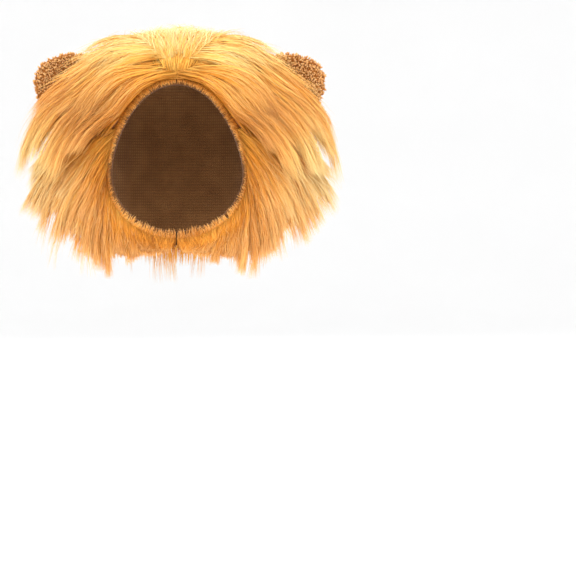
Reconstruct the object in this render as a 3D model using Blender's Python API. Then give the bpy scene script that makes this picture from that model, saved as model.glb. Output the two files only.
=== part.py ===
"""Lion mane wig for a small pet: a plush hood with two ears, covered in deep combed locks.

Metres, +Z up. The face opening looks toward -Y. The origin is the underside of the crown, where the hood sits.
Places on the hood are given by two angles about the middle of the head: turn runs round the face from straight up,
and back runs from the face to the nape. What lies on the cloth is set out along those directions.
"""

import math

import bpy
import bmesh
from mathutils import Vector

# Hollow of the hood, measured inside the cloth from the middle of the head
HEAD_WIDTH = 0.130
HEAD_FRONT = 0.062
HEAD_BACK = 0.068
CROWN_RISE = 0.065
JAW_DROP = 0.158
HEAD_ROUNDNESS = 2.3
CLOTH_WALL = 0.0024
THROAT_SLIT = 0.0010

# Face opening, clear between its bound edges
OPENING_WIDTH = 0.098
OPENING_TOP = 0.021
OPENING_WIDEST = 0.086
OPENING_BOTTOM = 0.129
THROAT_HEIGHT = 0.009
HEM_DROP = OPENING_BOTTOM + THROAT_HEIGHT
OPENING_TOP_CURVE = 1.5
OPENING_SIDE_CURVE = 0.49

# Rolled edges
BINDING_WIDTH = 0.0034
BINDING_THICKNESS = 0.0040
FIT_GAP = 0.0003

# Hidden closing tab
TAB_WIDTH = 0.022
TAB_HEIGHT = 0.011
TAB_THICKNESS = 0.0016

# Ears
EAR_TURN = 62
EAR_WIDTH = 0.060
EAR_HEIGHT = 0.055
EAR_THICKNESS = 0.011
EAR_DISH = 0.0045
EAR_CUP = 0.006

# Fur
FUR_GAP = 0.0006
LAYER_GAP = 0.0009
MEETING_GAP = 0.0012
LOCK_RELIEF = 0.0022
TIP_THICKNESS = 0.0014
PARTING_DEPTH = 0.007
BROW_DEPTH = 0.011
CROWN_DEPTH = 0.030
LOWER_ROOT_DEPTH = 0.0036
MANE_WIDTH = 0.232
MANE_DROP = 0.157
MANE_FORWARD = 0.068
BACK_ROOT_DEPTH = 0.008
BACK_DEPTH = 0.019
BACK_TIP_DEPTH = 0.036
BACK_DROP = 0.158
BACK_SIDE_DROP = 0.127
BACK_RELIEF = 0.0032
TUFT_DEPTH = 0.0085
TUFT_RISE = 0.020
TUFT_SPREAD = 31
BROW_LOCK_DEPTH = 0.0045
BROW_LOCK_START = 10
BROW_LOCK_SPAN = 11
CROWN_EDGE = 88
RELIEF_TURN = 60

HEAD_CENTRE = Vector((0, 0, -CROWN_RISE))
HOOD_COLUMNS = 44

COLOURS = {
    "plush": (0.52, 0.24, 0.075),
    "binding": (0.30, 0.13, 0.04),
    "tab": (0.10, 0.06, 0.03),
    "gold": (0.87, 0.42, 0.08),
    "amber": (0.80, 0.34, 0.06),
    "pale": (0.95, 0.66, 0.28),
}

# Upper tier: one row for each combed line, from the brow to the crown. Root_open and tip_open are shares of the way
# from the face opening to the ears' line, at the parting and at the tip, and tip_turn is in degrees.
UPPER_LINES = [
    {"along": 0.00, "root_open": 0.00, "tip_open": 0.00, "tip_turn": 90},
    {"along": 0.30, "root_open": 0.30, "tip_open": 0.40, "tip_turn": 92},
    {"along": 0.60, "root_open": 0.62, "tip_open": 0.66, "tip_turn": 91},
    {"along": 0.85, "root_open": 0.88, "tip_open": 0.80, "tip_turn": 85},
    {"along": 1.00, "root_open": 1.00, "tip_open": 0.86, "tip_turn": 78},
]

# Lower tier: one row for each combed line, from the side round to the chin. Root_turn is in degrees, root_open
# is the share of the way from the face opening to the ears' line, and the tip's place is a share of the mane's
# half width, of its drop and of its reach forward.
LOWER_LINES = [
    {"along": 0.00, "root_turn": 72, "root_open": 0.86, "across": 0.985, "drop": 0.54, "forward": -0.08},
    {"along": 0.14, "root_turn": 72, "root_open": 0.58, "across": 0.965, "drop": 0.68, "forward": 0.10},
    {"along": 0.28, "root_turn": 73, "root_open": 0.25, "across": 0.890, "drop": 0.78, "forward": 0.30},
    {"along": 0.40, "root_turn": 76, "root_open": 0.00, "across": 0.790, "drop": 0.86, "forward": 0.52},
    {"along": 0.56, "root_turn": 96, "root_open": 0.00, "across": 0.620, "drop": 0.94, "forward": 0.76},
    {"along": 0.72, "root_turn": 122, "root_open": 0.00, "across": 0.420, "drop": 1.00, "forward": 0.94},
    {"along": 0.87, "root_turn": 150, "root_open": 0.00, "across": 0.215, "drop": 0.96, "forward": 1.00},
    {"along": 1.00, "root_turn": 180, "root_open": 0.00, "across": 0.045, "drop": 0.93, "forward": 0.99},
]

# Lengths of neighbouring locks, as shares of the full length, repeated along each panel
LOCK_LENGTHS = [1.0, 0.91, 0.97, 0.87, 0.95, 0.89, 0.99, 0.93]


def blend(start, end, share):
    return start + (end - start) * share


def smooth(value, low, high):
    """Rise from 0 to 1 between two limits, with soft ends."""
    share = min(max((value - low) / (high - low), 0.0), 1.0)
    return share * share * (3 - 2 * share)


def read_table(rows, along, column):
    """Value of a column at a place between two rows."""
    for low, high in zip(rows, rows[1:]):
        if along <= high["along"]:
            share = (along - low["along"]) / (high["along"] - low["along"])
            return blend(low[column], high[column], smooth(share, 0, 1) * 0.5 + share * 0.5)
    return rows[-1][column]


def aim(turn, back):
    """Direction from the middle of the head, turned round the face from straight up and tilted back from it."""
    turn = math.radians(turn)
    back = math.radians(back)
    return Vector((math.sin(back) * math.sin(turn), -math.cos(back), math.sin(back) * math.cos(turn)))


def turn_of(direction):
    return math.degrees(math.atan2(direction.x, direction.z))


def back_of(direction):
    return math.degrees(math.acos(-direction.normalized().y))


def head_halves(direction):
    """Half sizes of the hollow on the side that a direction points to."""
    depth = HEAD_FRONT if direction.y < 0 else HEAD_BACK
    height = CROWN_RISE if direction.z > 0 else JAW_DROP
    return HEAD_WIDTH / 2, depth, height


def head_reach(direction):
    """Distance from the middle of the head to the outside of the cloth."""
    total = sum((abs(part) / half) ** HEAD_ROUNDNESS for part, half in zip(direction, head_halves(direction)))
    return total ** (-1 / HEAD_ROUNDNESS) + CLOTH_WALL


def over_head(direction, depth):
    """Point at a depth over the cloth."""
    return HEAD_CENTRE + direction * (head_reach(direction) + depth)


def opening_half_width(height):
    """Half width of the clear face opening at a height."""
    if height > -OPENING_WIDEST:
        share = (height + OPENING_WIDEST) / (OPENING_WIDEST - OPENING_TOP)
        return OPENING_WIDTH / 2 * max(1 - share ** OPENING_TOP_CURVE, 0) ** OPENING_SIDE_CURVE
    share = (-OPENING_WIDEST - height) / (OPENING_BOTTOM - OPENING_WIDEST)
    return OPENING_WIDTH / 2 * math.sqrt(max(1 - share * share, 0))


def edge_back(turn):
    """Angle back from the face at which the clear opening ends, for a turn round it."""
    angle = math.radians(turn)
    low, high = 0.0, OPENING_WIDTH + OPENING_BOTTOM
    for _ in range(40):
        distance = (low + high) / 2
        height = HEAD_CENTRE.z + distance * math.cos(angle)
        inside = -OPENING_BOTTOM < height < -OPENING_TOP
        if inside and abs(distance * math.sin(angle)) < opening_half_width(height):
            low = distance
        else:
            high = distance
    across = low * math.sin(angle)
    height = low * math.cos(angle)
    width, depth, rise = head_halves(Vector((across, -1, height)))
    left = 1 - (abs(across) / width) ** HEAD_ROUNDNESS - (abs(height) / rise) ** HEAD_ROUNDNESS
    forward = depth * max(left, 0.02) ** (1 / HEAD_ROUNDNESS)
    return math.degrees(math.atan2(low, forward))


def angle_for(length, direction):
    """Angle in degrees that a length takes along the cloth."""
    return math.degrees(length / head_reach(direction))


def cloth_edge_back(turn):
    """Angle back at which the cloth of the hood starts, behind the rolled edge."""
    edge = edge_back(turn)
    return edge + angle_for(BINDING_WIDTH + FIT_GAP, aim(turn, edge))


def fur_edge_back(turn):
    """Angle back at which the fur starts, just behind the edge of the cloth."""
    start = cloth_edge_back(turn)
    return start + angle_for(FUR_GAP, aim(turn, start))


def material(name):
    found = bpy.data.materials.get(name)
    if found:
        return found
    made = bpy.data.materials.new(name)
    made.use_nodes = True
    shader = made.node_tree.nodes["Principled BSDF"]
    shader.inputs["Base Color"].default_value = (*COLOURS[name], 1)
    shader.inputs["Roughness"].default_value = 0.85
    shader.inputs["Metallic"].default_value = 0.0
    made.diffuse_color = (*COLOURS[name], 1)
    return made


def add_object(name, form, colour, parent):
    """Turn a finished bmesh into a named object."""
    bmesh.ops.recalc_face_normals(form, faces=form.faces)
    mesh = bpy.data.meshes.new(name)
    form.to_mesh(mesh)
    form.free()
    mesh.shade_smooth()
    mesh.set_sharp_from_angle(angle=math.radians(50))
    made = bpy.data.objects.new(name, mesh)
    made.data.materials.append(material(colour))
    made.parent = parent
    bpy.context.collection.objects.link(made)
    return made


def join_rings(form, rings, closed):
    """Skin a list of vertex rings of equal length."""
    for first, second in zip(rings, rings[1:]):
        count = len(first)
        for index in range(count if closed else count - 1):
            after = (index + 1) % count
            form.faces.new((first[index], first[after], second[after], second[index]))


def make_hood(parent, columns=HOOD_COLUMNS, rings=12):
    """Plush hood: rings grow from the face opening to the back of the head, cut off at the neck."""
    form = bmesh.new()
    slit = THROAT_SLIT / 2
    grid = []
    for column in range(columns + 1):
        turn = blend(-180, 180, column / columns)
        start = cloth_edge_back(turn)
        line = []
        for ring in range(rings):
            back = blend(start, 180, ring / rings)
            point = over_head(aim(turn, back), 0)
            if column in (0, columns) and point.y < 0:
                point.x = math.copysign(slit, turn)
            elif column in (0, columns):
                point.x = 0
            line.append(form.verts.new(point))
        grid.append(line)
    join_rings(form, grid, closed=False)
    pole = form.verts.new(over_head(aim(0, 180), 0))
    for first, second in zip(grid, grid[1:]):
        form.faces.new((first[-1], second[-1], pole))
    bmesh.ops.remove_doubles(form, verts=form.verts, dist=1e-5)
    everything = form.verts[:] + form.edges[:] + form.faces[:]
    bmesh.ops.bisect_plane(form, geom=everything, dist=1e-6, plane_co=(0, 0, -HEM_DROP), plane_no=(0, 0, -1),
                           clear_outer=True)
    hood = add_object("hood_shell", form, "plush", parent)
    solidify = hood.modifiers.new("cloth wall", "SOLIDIFY")
    solidify.thickness = CLOTH_WALL
    solidify.offset = -1
    solidify.use_even_offset = True
    return hood


def add_strip(form, sections):
    """Closed bar lofted through rings of points, capped at both ends."""
    rings = [[form.verts.new(point) for point in section] for section in sections]
    join_rings(form, rings, closed=True)
    form.faces.new(rings[0])
    form.faces.new(rings[-1])


def rolled_section(place, width, thickness, sides=8):
    """Rounded section of a rolled edge, with place(across, out) giving its points."""
    points = []
    for side in range(sides):
        angle = math.tau * side / sides
        across = width / 2 * (1 + math.cos(angle))
        out = thickness / 2 * math.sin(angle)
        points.append(place(across, out))
    return points


def make_face_binding(parent, steps=HOOD_COLUMNS):
    """Rolled edge round the face opening, in front of the cloth's edge and as open at the throat slit."""
    sections = []
    for step in range(steps + 1):
        turn = blend(-180, 180, step / steps)
        edge = edge_back(turn)
        ends = step in (0, steps)

        def place(across, out):
            direction = aim(turn, edge + angle_for(across, aim(turn, edge)))
            point = over_head(direction, out - CLOTH_WALL / 2)
            if ends:
                point.x = math.copysign(THROAT_SLIT / 2, turn)
            return point

        sections.append(rolled_section(place, BINDING_WIDTH, BINDING_THICKNESS))
    form = bmesh.new()
    add_strip(form, sections)
    return add_object("face_binding", form, "binding", parent)


def neck_point(azimuth, drop, out):
    """Point at a drop below the crown and a distance out from the cloth, at an angle round the neck from the front."""
    angle = math.radians(azimuth)
    heading = Vector((math.sin(angle), -math.cos(angle), 0))
    low, high = 0.0, math.pi / 2
    for _ in range(40):
        dip = (low + high) / 2
        point = over_head(heading * math.cos(dip) - Vector((0, 0, math.sin(dip))), 0)
        if point.z > -drop:
            low = dip
        else:
            high = dip
    return point + heading * out


def make_neck_binding(parent, steps=HOOD_COLUMNS):
    """Rolled edge under the hem of the hood, as open at the throat slit."""
    sections = []
    for step in range(steps + 1):
        azimuth = blend(-180, 180, step / steps) + 180
        ends = step in (0, steps)

        def place(across, out):
            point = neck_point(azimuth, HEM_DROP + FIT_GAP + across, out - CLOTH_WALL / 2)
            if ends:
                point.x = THROAT_SLIT / 2 if step == 0 else -THROAT_SLIT / 2
            return point

        sections.append(rolled_section(place, BINDING_WIDTH, BINDING_THICKNESS, sides=6))
    form = bmesh.new()
    add_strip(form, sections)
    return add_object("neck_binding", form, "binding", parent)


def make_chin_tab(parent, steps=4):
    """Closing tab behind the throat slit, flat against the inside of the cloth."""
    top = (OPENING_BOTTOM + HEM_DROP + BINDING_WIDTH - TAB_HEIGHT) / 2
    sections = []
    for step in range(steps + 1):
        across = blend(-TAB_WIDTH / 2, TAB_WIDTH / 2, step / steps)
        azimuth = math.degrees(math.asin(across / HEAD_FRONT))
        inside = -(CLOTH_WALL + BINDING_THICKNESS) / 2 - FIT_GAP
        section = []
        for drop, out in ((top, inside), (top + TAB_HEIGHT, inside),
                          (top + TAB_HEIGHT, inside - TAB_THICKNESS), (top, inside - TAB_THICKNESS)):
            section.append(neck_point(azimuth, drop, out))
        sections.append(section)
    form = bmesh.new()
    add_strip(form, sections)
    return add_object("chin_tab", form, "tab", parent)


def make_ear(name, side, parent, levels=8, around=20):
    """Padded ear that stands on the hood, rounded at the top and dished toward the face."""
    seat = aim(EAR_TURN * side, 90)
    foot = over_head(seat, 0)
    across_way = Vector((seat.z, 0, -seat.x)) * side
    form = bmesh.new()

    def ear_ring(rise, shrink=1.0):
        half_width = EAR_WIDTH / 2 * max(1 - rise ** 2.8, 0) ** 0.5 * (0.88 + 0.12 * math.sin(math.pi * rise))
        half_thick = EAR_THICKNESS / 2 * math.sqrt(max(1 - rise ** 3, 0.02))
        ring = []
        for index in range(around):
            angle = math.tau * index / around
            across = half_width * math.cos(angle)
            deep = half_thick * math.copysign(abs(math.sin(angle)) ** 0.8, math.sin(angle))
            middle = max(1 - (across / half_width) ** 2, 0)
            if deep < 0:
                deep += EAR_DISH * middle ** 1.5 * math.sin(math.pi * min(rise + 0.12, 1))
            deep -= EAR_CUP * (1 - middle) * rise
            point = foot + across_way * across * shrink + Vector((0, deep * shrink, 0)) + seat * EAR_HEIGHT * rise
            if rise == 0:
                point = over_head((point - HEAD_CENTRE).normalized(), FUR_GAP)
            ring.append(form.verts.new(point))
        return ring

    rings = [ear_ring(0, shrink) for shrink in (0.3, 0.65)]
    rings += [ear_ring(math.sin(math.pi / 2 * level / levels)) for level in range(levels)]
    join_rings(form, rings, closed=True)
    ends = [(rings[0], over_head(seat, FUR_GAP)),
            (rings[-1], foot + seat * EAR_HEIGHT + Vector((0, -EAR_CUP * 0.2, 0)))]
    for ring, point in ends:
        middle = form.verts.new(point)
        for index in range(around):
            form.faces.new((ring[index], ring[(index + 1) % around], middle))
    return add_object(name, form, "plush", parent)


def lock_panel(name, colour, parent, locks, rows, place, body=0.66):
    """Side-by-side locks fused into one closed panel, with ridges along them and free pointed tips.

    place(along, down, side) gives a point for a share along the panel, a share down the lock, and the upper (1)
    or under (0) side. Body is the share of the length at which neighbouring locks part.
    """
    form = bmesh.new()
    columns = 2 * locks + 1
    upper, under = [], []
    for column in range(columns):
        along = column / (columns - 1)
        ridge = 1 if column % 2 else -1
        upper.append([form.verts.new(place(along, body * row / rows, 1, ridge * row / rows))
                      for row in range(rows + 1)])
        under.append([form.verts.new(place(along, body * row / rows, 0, 0)) for row in range(rows + 1)])
    join_rings(form, upper, closed=False)
    join_rings(form, under, closed=False)
    join_rings(form, [[line[0] for line in upper], [line[0] for line in under]], closed=False)
    for edge in (0, -1):
        join_rings(form, [upper[edge], under[edge]], closed=False)
    for lock in range(locks):
        left, middle, right = 2 * lock, 2 * lock + 1, 2 * lock + 2
        loop = [upper[left][-1], upper[middle][-1], upper[right][-1],
                under[right][-1], under[middle][-1], under[left][-1]]
        length = LOCK_LENGTHS[lock % len(LOCK_LENGTHS)]
        centre = middle / (columns - 1)
        half = 1 / (columns - 1)
        rings = [loop]
        for share in (0.4, 0.75):
            down = blend(body, length, share)
            spread = half * (1 - share ** 1.4)
            ring = [form.verts.new(place(centre + spread * step, down, side, ridge * (1 - share)))
                    for step, side, ridge in ((-1, 1, -0.6), (0, 1, 1), (1, 1, -0.6), (1, 0, 0), (0, 0, 0), (-1, 0, 0))]
            rings.append(ring)
        join_rings(form, rings, closed=True)
        end = form.verts.new(place(centre, length, 1, 0))
        last = rings[-1]
        for index, vert in enumerate(last):
            form.faces.new((vert, last[(index + 1) % len(last)], end))
    return add_object(name, form, colour, parent)


def swept_depth(turn, back):
    """Depth of the upper tier over the cloth."""
    open_share = smooth(back, edge_back(turn), 80)
    full = blend(BROW_DEPTH, CROWN_DEPTH, open_share)
    return blend(PARTING_DEPTH, full, smooth(abs(turn), 0, 46))


def over_swept(turn, back):
    """Depth that just clears the ridges of the upper tier, which grow away from the parting."""
    return swept_depth(turn, back) + LOCK_RELIEF * min(abs(turn) / RELIEF_TURN, 1) + LAYER_GAP


def make_upper_mane(name, side, parent, locks=8, rows=7):
    """Upper tier, parted over the brow and swept over the temple in front of the ear."""

    def place(along, down, top, ridge):
        open_share = blend(read_table(UPPER_LINES, along, "root_open"), read_table(UPPER_LINES, along, "tip_open"), down)
        turn = blend(0, read_table(UPPER_LINES, along, "tip_turn"), down)
        back = blend(fur_edge_back(turn), CROWN_EDGE, open_share)
        depth = swept_depth(turn, back) + ridge * LOCK_RELIEF
        if not top:
            lifted = depth - blend(CROWN_DEPTH, TIP_THICKNESS, smooth(down, 0.45, 1.0))
            depth = max(FUR_GAP, lifted)
        point = over_head(aim(turn, back), depth)
        point.x += MEETING_GAP / 2
        point.x *= side
        return point

    return lock_panel(name, "gold", parent, locks, rows, place, body=0.70)


def make_lower_mane(name, side, parent, locks=13, rows=7):
    """Lower tier, from the cheek and chin out to the side and down over the chest."""

    def place(along, down, top, ridge):
        root_turn = read_table(LOWER_LINES, along, "root_turn")
        root_back = blend(fur_edge_back(root_turn), CROWN_EDGE, read_table(LOWER_LINES, along, "root_open"))
        tip = Vector((read_table(LOWER_LINES, along, "across") * MANE_WIDTH / 2,
                      -read_table(LOWER_LINES, along, "forward") * MANE_FORWARD,
                      -read_table(LOWER_LINES, along, "drop") * MANE_DROP))
        tip_way = tip - HEAD_CENTRE
        tip_depth = max(tip_way.length - head_reach(tip_way.normalized()), LOWER_ROOT_DEPTH)
        turn = blend(root_turn, turn_of(tip_way), down)
        back = blend(root_back, back_of(tip_way), down)
        swell = BROW_DEPTH * math.sin(math.pi * min(down * 1.1, 1)) * 0.6
        depth = blend(LOWER_ROOT_DEPTH, tip_depth, down ** 1.8) + swell + ridge * LOCK_RELIEF
        if not top:
            lifted = depth - blend(BACK_DEPTH, TIP_THICKNESS, smooth(down, 0.35, 1.0))
            depth = max(FUR_GAP, lifted)
        point = over_head(aim(turn, back), depth)
        point.x = max(point.x, 0) + MEETING_GAP / 2
        point.x *= side
        return point

    return lock_panel(name, "amber", parent, locks, rows, place)


def make_brow_locks(name, side, parent, locks=3, rows=7):
    """Pale bundle that sweeps from the parting along the brow, over the upper tier."""

    def place(along, down, top, ridge):
        turn = blend(BROW_LOCK_START, 96, down)
        width = BROW_LOCK_SPAN * blend(0.35, 1, smooth(down, 0, 0.5))
        back = fur_edge_back(turn) + 1 + width * along + blend(0, 9, down)
        base = over_swept(turn, back)
        thick = BROW_LOCK_DEPTH * blend(0.2, 1, math.sin(math.pi * min(down, 1)))
        depth = base + (thick + ridge * LOCK_RELIEF * 0.4 if top else 0)
        return over_head(aim(turn * side, back), depth)

    return lock_panel(name, "pale", parent, locks, rows, place, body=0.75)


def make_crown_tuft(parent, locks=7, rows=6):
    """Pale tuft that starts at the parting, runs back over the crown and stands up at its tips."""

    def place(along, down, top, ridge):
        spread = blend(-1, 1, along)
        slant = math.radians(spread * blend(3, TUFT_SPREAD, down))
        pitch = math.radians(blend(edge_back(0) + 6, 108, down))
        direction = Vector((math.sin(slant), -math.cos(slant) * math.cos(pitch), math.cos(slant) * math.sin(pitch)))
        turn, back = turn_of(direction), back_of(direction)
        base = over_swept(turn, min(back, CROWN_EDGE))
        side_share = 1 - 0.7 * spread * spread
        lift = max(TUFT_RISE - base, 0) * smooth(down, 0.6, 1.0) * side_share
        depth = base + lift * 0.8
        if top:
            depth += blend(0.35, 1, smooth(down, 0, 0.5)) * TUFT_DEPTH * side_share
            depth += ridge * LOCK_RELIEF * 0.4 + lift * 0.2
        return over_head(direction, depth)

    return lock_panel("crown_tuft", "pale", parent, locks, rows, place, body=0.72)


def make_back_mane(parent, locks=16, rows=10):
    """Locks that fall from the crown, behind the ears and down past the hem."""

    def place(along, down, top, ridge):
        spread = blend(-1, 1, along)
        behind_ear = blend(86, 79, smooth(down, 0.1, 0.4))
        reach_round = blend(behind_ear, 98, smooth(down, 0.70, 0.92))
        azimuth = math.radians(spread * blend(90, reach_round, abs(spread) ** 5))
        to_side = smooth(abs(spread), 0, 0.75)
        drop = blend(BACK_DROP, BACK_SIDE_DROP, to_side)
        tip_angle = math.degrees(math.atan2(HEAD_WIDTH / 2 + BACK_DEPTH, CROWN_RISE - drop))
        tilt = math.radians(blend(5, tip_angle, down))
        direction = Vector((math.sin(tilt) * math.sin(azimuth), math.sin(tilt) * math.cos(azimuth), math.cos(tilt)))
        depth = blend(BACK_ROOT_DEPTH, BACK_DEPTH, smooth(down, 0, 0.16)) + ridge * BACK_RELIEF
        depth += (BACK_TIP_DEPTH - BACK_DEPTH) * smooth(down, 0.55, 1.0) * (1 - to_side)
        if not top:
            lifted = depth - blend(BACK_TIP_DEPTH, TIP_THICKNESS, smooth(down, 0.6, 1.0))
            depth = max(FUR_GAP, lifted)
        return over_head(direction, depth)

    return lock_panel("back_mane", "gold", parent, locks, rows, place, body=0.78)


def main():
    for old in list(bpy.data.objects):
        bpy.data.objects.remove(old, do_unlink=True)
    wig = bpy.data.objects.new("lion_mane_wig", None)
    bpy.context.collection.objects.link(wig)
    make_hood(wig)
    make_face_binding(wig)
    make_neck_binding(wig)
    make_chin_tab(wig)
    make_crown_tuft(wig)
    make_back_mane(wig)
    for word, side in (("left", -1), ("right", 1)):
        make_ear("ear_" + word, side, wig)
        make_upper_mane("upper_mane_" + word, side, wig)
        make_lower_mane("lower_mane_" + word, side, wig)
        make_brow_locks("brow_locks_" + word, side, wig)
    bpy.context.view_layer.update()


main()
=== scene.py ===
"""Looks of the lion mane wig: combed fur, plush ears, the cloth hood with its rolled edges, and the studio.

Each piece or group of pieces has its own operator, and the panel in the sidebar lists them in the order of
making. Places on the hood are given by two angles in degrees about the middle of the head: turn runs round
the face from straight up, and back runs from the face to the nape.
"""

import math

import bmesh
import bpy
from bpy.props import FloatProperty, FloatVectorProperty, IntProperty, PointerProperty
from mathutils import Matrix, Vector, noise


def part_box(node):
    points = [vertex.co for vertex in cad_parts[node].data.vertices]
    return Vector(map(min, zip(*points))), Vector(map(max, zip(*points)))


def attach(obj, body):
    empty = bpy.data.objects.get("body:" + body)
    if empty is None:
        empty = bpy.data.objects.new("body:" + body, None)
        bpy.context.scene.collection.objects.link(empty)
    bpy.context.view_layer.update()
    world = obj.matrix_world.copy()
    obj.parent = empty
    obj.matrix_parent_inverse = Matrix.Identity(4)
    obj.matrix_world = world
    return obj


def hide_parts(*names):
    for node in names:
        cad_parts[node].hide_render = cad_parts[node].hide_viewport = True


bl_info = {
    "name": "Lion Mane Wig",
    "version": (1, 0, 0),
    "blender": (4, 5, 0),
    "location": "View3D > Sidebar > Wig",
    "description": "Builds the fur, plush, cloth and studio of a lion mane wig for a small pet",
    "category": "Object",
}

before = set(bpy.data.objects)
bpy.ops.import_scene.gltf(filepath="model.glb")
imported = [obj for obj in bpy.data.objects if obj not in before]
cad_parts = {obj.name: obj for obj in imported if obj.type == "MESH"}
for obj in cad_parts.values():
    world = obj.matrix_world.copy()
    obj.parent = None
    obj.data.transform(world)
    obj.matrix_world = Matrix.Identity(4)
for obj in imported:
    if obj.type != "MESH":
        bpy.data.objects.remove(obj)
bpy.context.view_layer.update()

# Form of the hood, as in the frame
HEAD_WIDTH = 0.130
HEAD_FRONT = 0.062
HEAD_BACK = 0.068
CROWN_RISE = 0.065
JAW_DROP = 0.158
HEAD_ROUNDNESS = 2.3
CLOTH_WALL = 0.0024
HEM_DROP = 0.138
THROAT_SLIT = 0.0010
HEAD_CENTRE = Vector((0, 0, -CROWN_RISE))
BINDING_WIDTH = 0.0034
BINDING_HALF_THICKNESS = 0.0020
BINDING_OVERLAP = 0.0005
HEM_SLACK = 0.0008
TAPE_THICKNESS = 0.0014
TAPE_GAP = 0.0002
FIT_GAP = 0.0003
FUR_GAP = 0.0006

# Face opening, clear between its rolled edges
OPENING_WIDTH = 0.098
OPENING_TOP = 0.021
OPENING_WIDEST = 0.086
OPENING_BOTTOM = 0.129
OPENING_TOP_CURVE = 1.5
OPENING_SIDE_CURVE = 0.49

# Depths and reach of the fur over the cloth
PARTING_DEPTH = 0.007
BROW_DEPTH = 0.011
CROWN_DEPTH = 0.030
CROWN_EDGE = 88
LOWER_ROOT_DEPTH = 0.0036
MANE_WIDTH = 0.232
MANE_DROP = 0.157
MANE_FORWARD = 0.068
BACK_ROOT_DEPTH = 0.008
BACK_DEPTH = 0.019
BACK_TIP_DEPTH = 0.036
BACK_DROP = 0.158
BACK_SIDE_DROP = 0.127
TUFT_DEPTH = 0.0085
TUFT_SPREAD = 31
BROW_LOCK_DEPTH = 0.0045
BROW_LOCK_START = 10
BROW_LOCK_SPAN = 11
LONG_HAIR = 0.075
EAR_FOOT_TURN = 36
UPPER_WIDEN = 0.07
UPPER_FLARE = 0.045
UPPER_FLARE_START = 0.72
TUFT_LIFT = 0.004
TUFT_END_PITCH = 118
TUFT_CORE = (0.24, 0.76)
NAP_PITCHES = (82, 116)
SKIRT_AZIMUTH = 118
SKIRT_TILTS = (96, 147)
BROW_FRINGE_TURNS = (0.4, 76)
CHEEK_FRINGE_TURNS = (68, 180)

# Strands keep this far, as a share, from the edges of their guide surface
STRAND_END = 0.002
SIDES = (("left", -1), ("right", 1))

# Upper tier: one row for each combed line, from the brow to the crown. Open shares run from the face opening
# to the ears' line, and tip_turn is in degrees.
UPPER_LINES = [
    {"along": 0.00, "root_open": 0.00, "tip_open": 0.00, "tip_turn": 90},
    {"along": 0.30, "root_open": 0.22, "tip_open": 0.40, "tip_turn": 92},
    {"along": 0.60, "root_open": 0.46, "tip_open": 0.66, "tip_turn": 91},
    {"along": 0.85, "root_open": 0.78, "tip_open": 0.80, "tip_turn": 85},
    {"along": 1.00, "root_open": 1.00, "tip_open": 0.86, "tip_turn": 78},
]

# Lower tier: one row for each combed line, from the side round to the chin. The tip's place is a share of
# the mane's half width, of its drop and of its reach forward.
LOWER_LINES = [
    {"along": 0.00, "root_turn": 72, "root_open": 0.86, "across": 0.985, "drop": 0.54, "forward": -0.08},
    {"along": 0.14, "root_turn": 72, "root_open": 0.58, "across": 0.965, "drop": 0.68, "forward": 0.10},
    {"along": 0.28, "root_turn": 73, "root_open": 0.25, "across": 0.890, "drop": 0.78, "forward": 0.30},
    {"along": 0.40, "root_turn": 76, "root_open": 0.00, "across": 0.790, "drop": 0.86, "forward": 0.52},
    {"along": 0.56, "root_turn": 96, "root_open": 0.00, "across": 0.620, "drop": 0.94, "forward": 0.76},
    {"along": 0.72, "root_turn": 122, "root_open": 0.00, "across": 0.420, "drop": 1.00, "forward": 0.94},
    {"along": 0.87, "root_turn": 150, "root_open": 0.00, "across": 0.215, "drop": 0.96, "forward": 1.00},
    {"along": 1.00, "root_turn": 180, "root_open": 0.00, "across": 0.045, "drop": 0.93, "forward": 0.99},
]

# Tone of the fur in spots of the front: where, how wide, and how much paler (above 0) or deeper (below 0).
# The deeper spots at the parting, below the upper tier and beneath the chin are painted shade. Each spot is
# on both sides of the middle.
TONE_SPOTS = [
    {"name": "crown", "x": 0.000, "z": 0.022, "wide": 0.072, "high": 0.022, "tone": 0.26},
    {"name": "over the parting", "x": 0.000, "z": 0.002, "wide": 0.011, "high": 0.016, "tone": 0.06},
    {"name": "beside the parting", "x": 0.022, "z": -0.009, "wide": 0.017, "high": 0.011, "tone": -0.16},
    # Painted shade in the parting
    {"name": "at the parting", "x": 0.000, "z": -0.018, "wide": 0.012, "high": 0.009, "tone": -0.14},
    {"name": "upper tier", "x": 0.052, "z": 0.000, "wide": 0.044, "high": 0.017, "tone": 0.27},
    {"name": "temple", "x": 0.064, "z": -0.034, "wide": 0.034, "high": 0.020, "tone": -0.10},
    # Painted shade in the gap below the upper tier
    {"name": "under the upper tier", "x": 0.070, "z": -0.050, "wide": 0.026, "high": 0.014, "tone": -0.20},
    {"name": "cheek", "x": 0.056, "z": -0.085, "wide": 0.012, "high": 0.036, "tone": -0.10},
    {"name": "side tips", "x": 0.112, "z": -0.088, "wide": 0.022, "high": 0.036, "tone": 0.44},
    {"name": "chest tips", "x": 0.080, "z": -0.150, "wide": 0.030, "high": 0.012, "tone": 0.14},
    # Painted shade beneath the chin
    {"name": "under the chin", "x": 0.000, "z": -0.136, "wide": 0.044, "high": 0.014, "tone": -0.24},
]


def blend(start, end, share):
    return start + (end - start) * share


def smooth(value, low, high):
    """Rise from 0 to 1 between two limits, with soft ends."""
    share = min(max((value - low) / (high - low), 0.0), 1.0)
    return share * share * (3 - 2 * share)


def last_inside(low, high, inside):
    """Largest value between two limits at which a test still holds."""
    for _ in range(30):
        middle = (low + high) / 2
        if inside(middle):
            low = middle
        else:
            high = middle
    return low


def read_table(rows, along, column):
    """Value of a column at a place between two rows."""
    for low, high in zip(rows, rows[1:]):
        if along <= high["along"]:
            share = (along - low["along"]) / (high["along"] - low["along"])
            return blend(low[column], high[column], smooth(share, 0, 1) * 0.5 + share * 0.5)
    return rows[-1][column]


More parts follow.
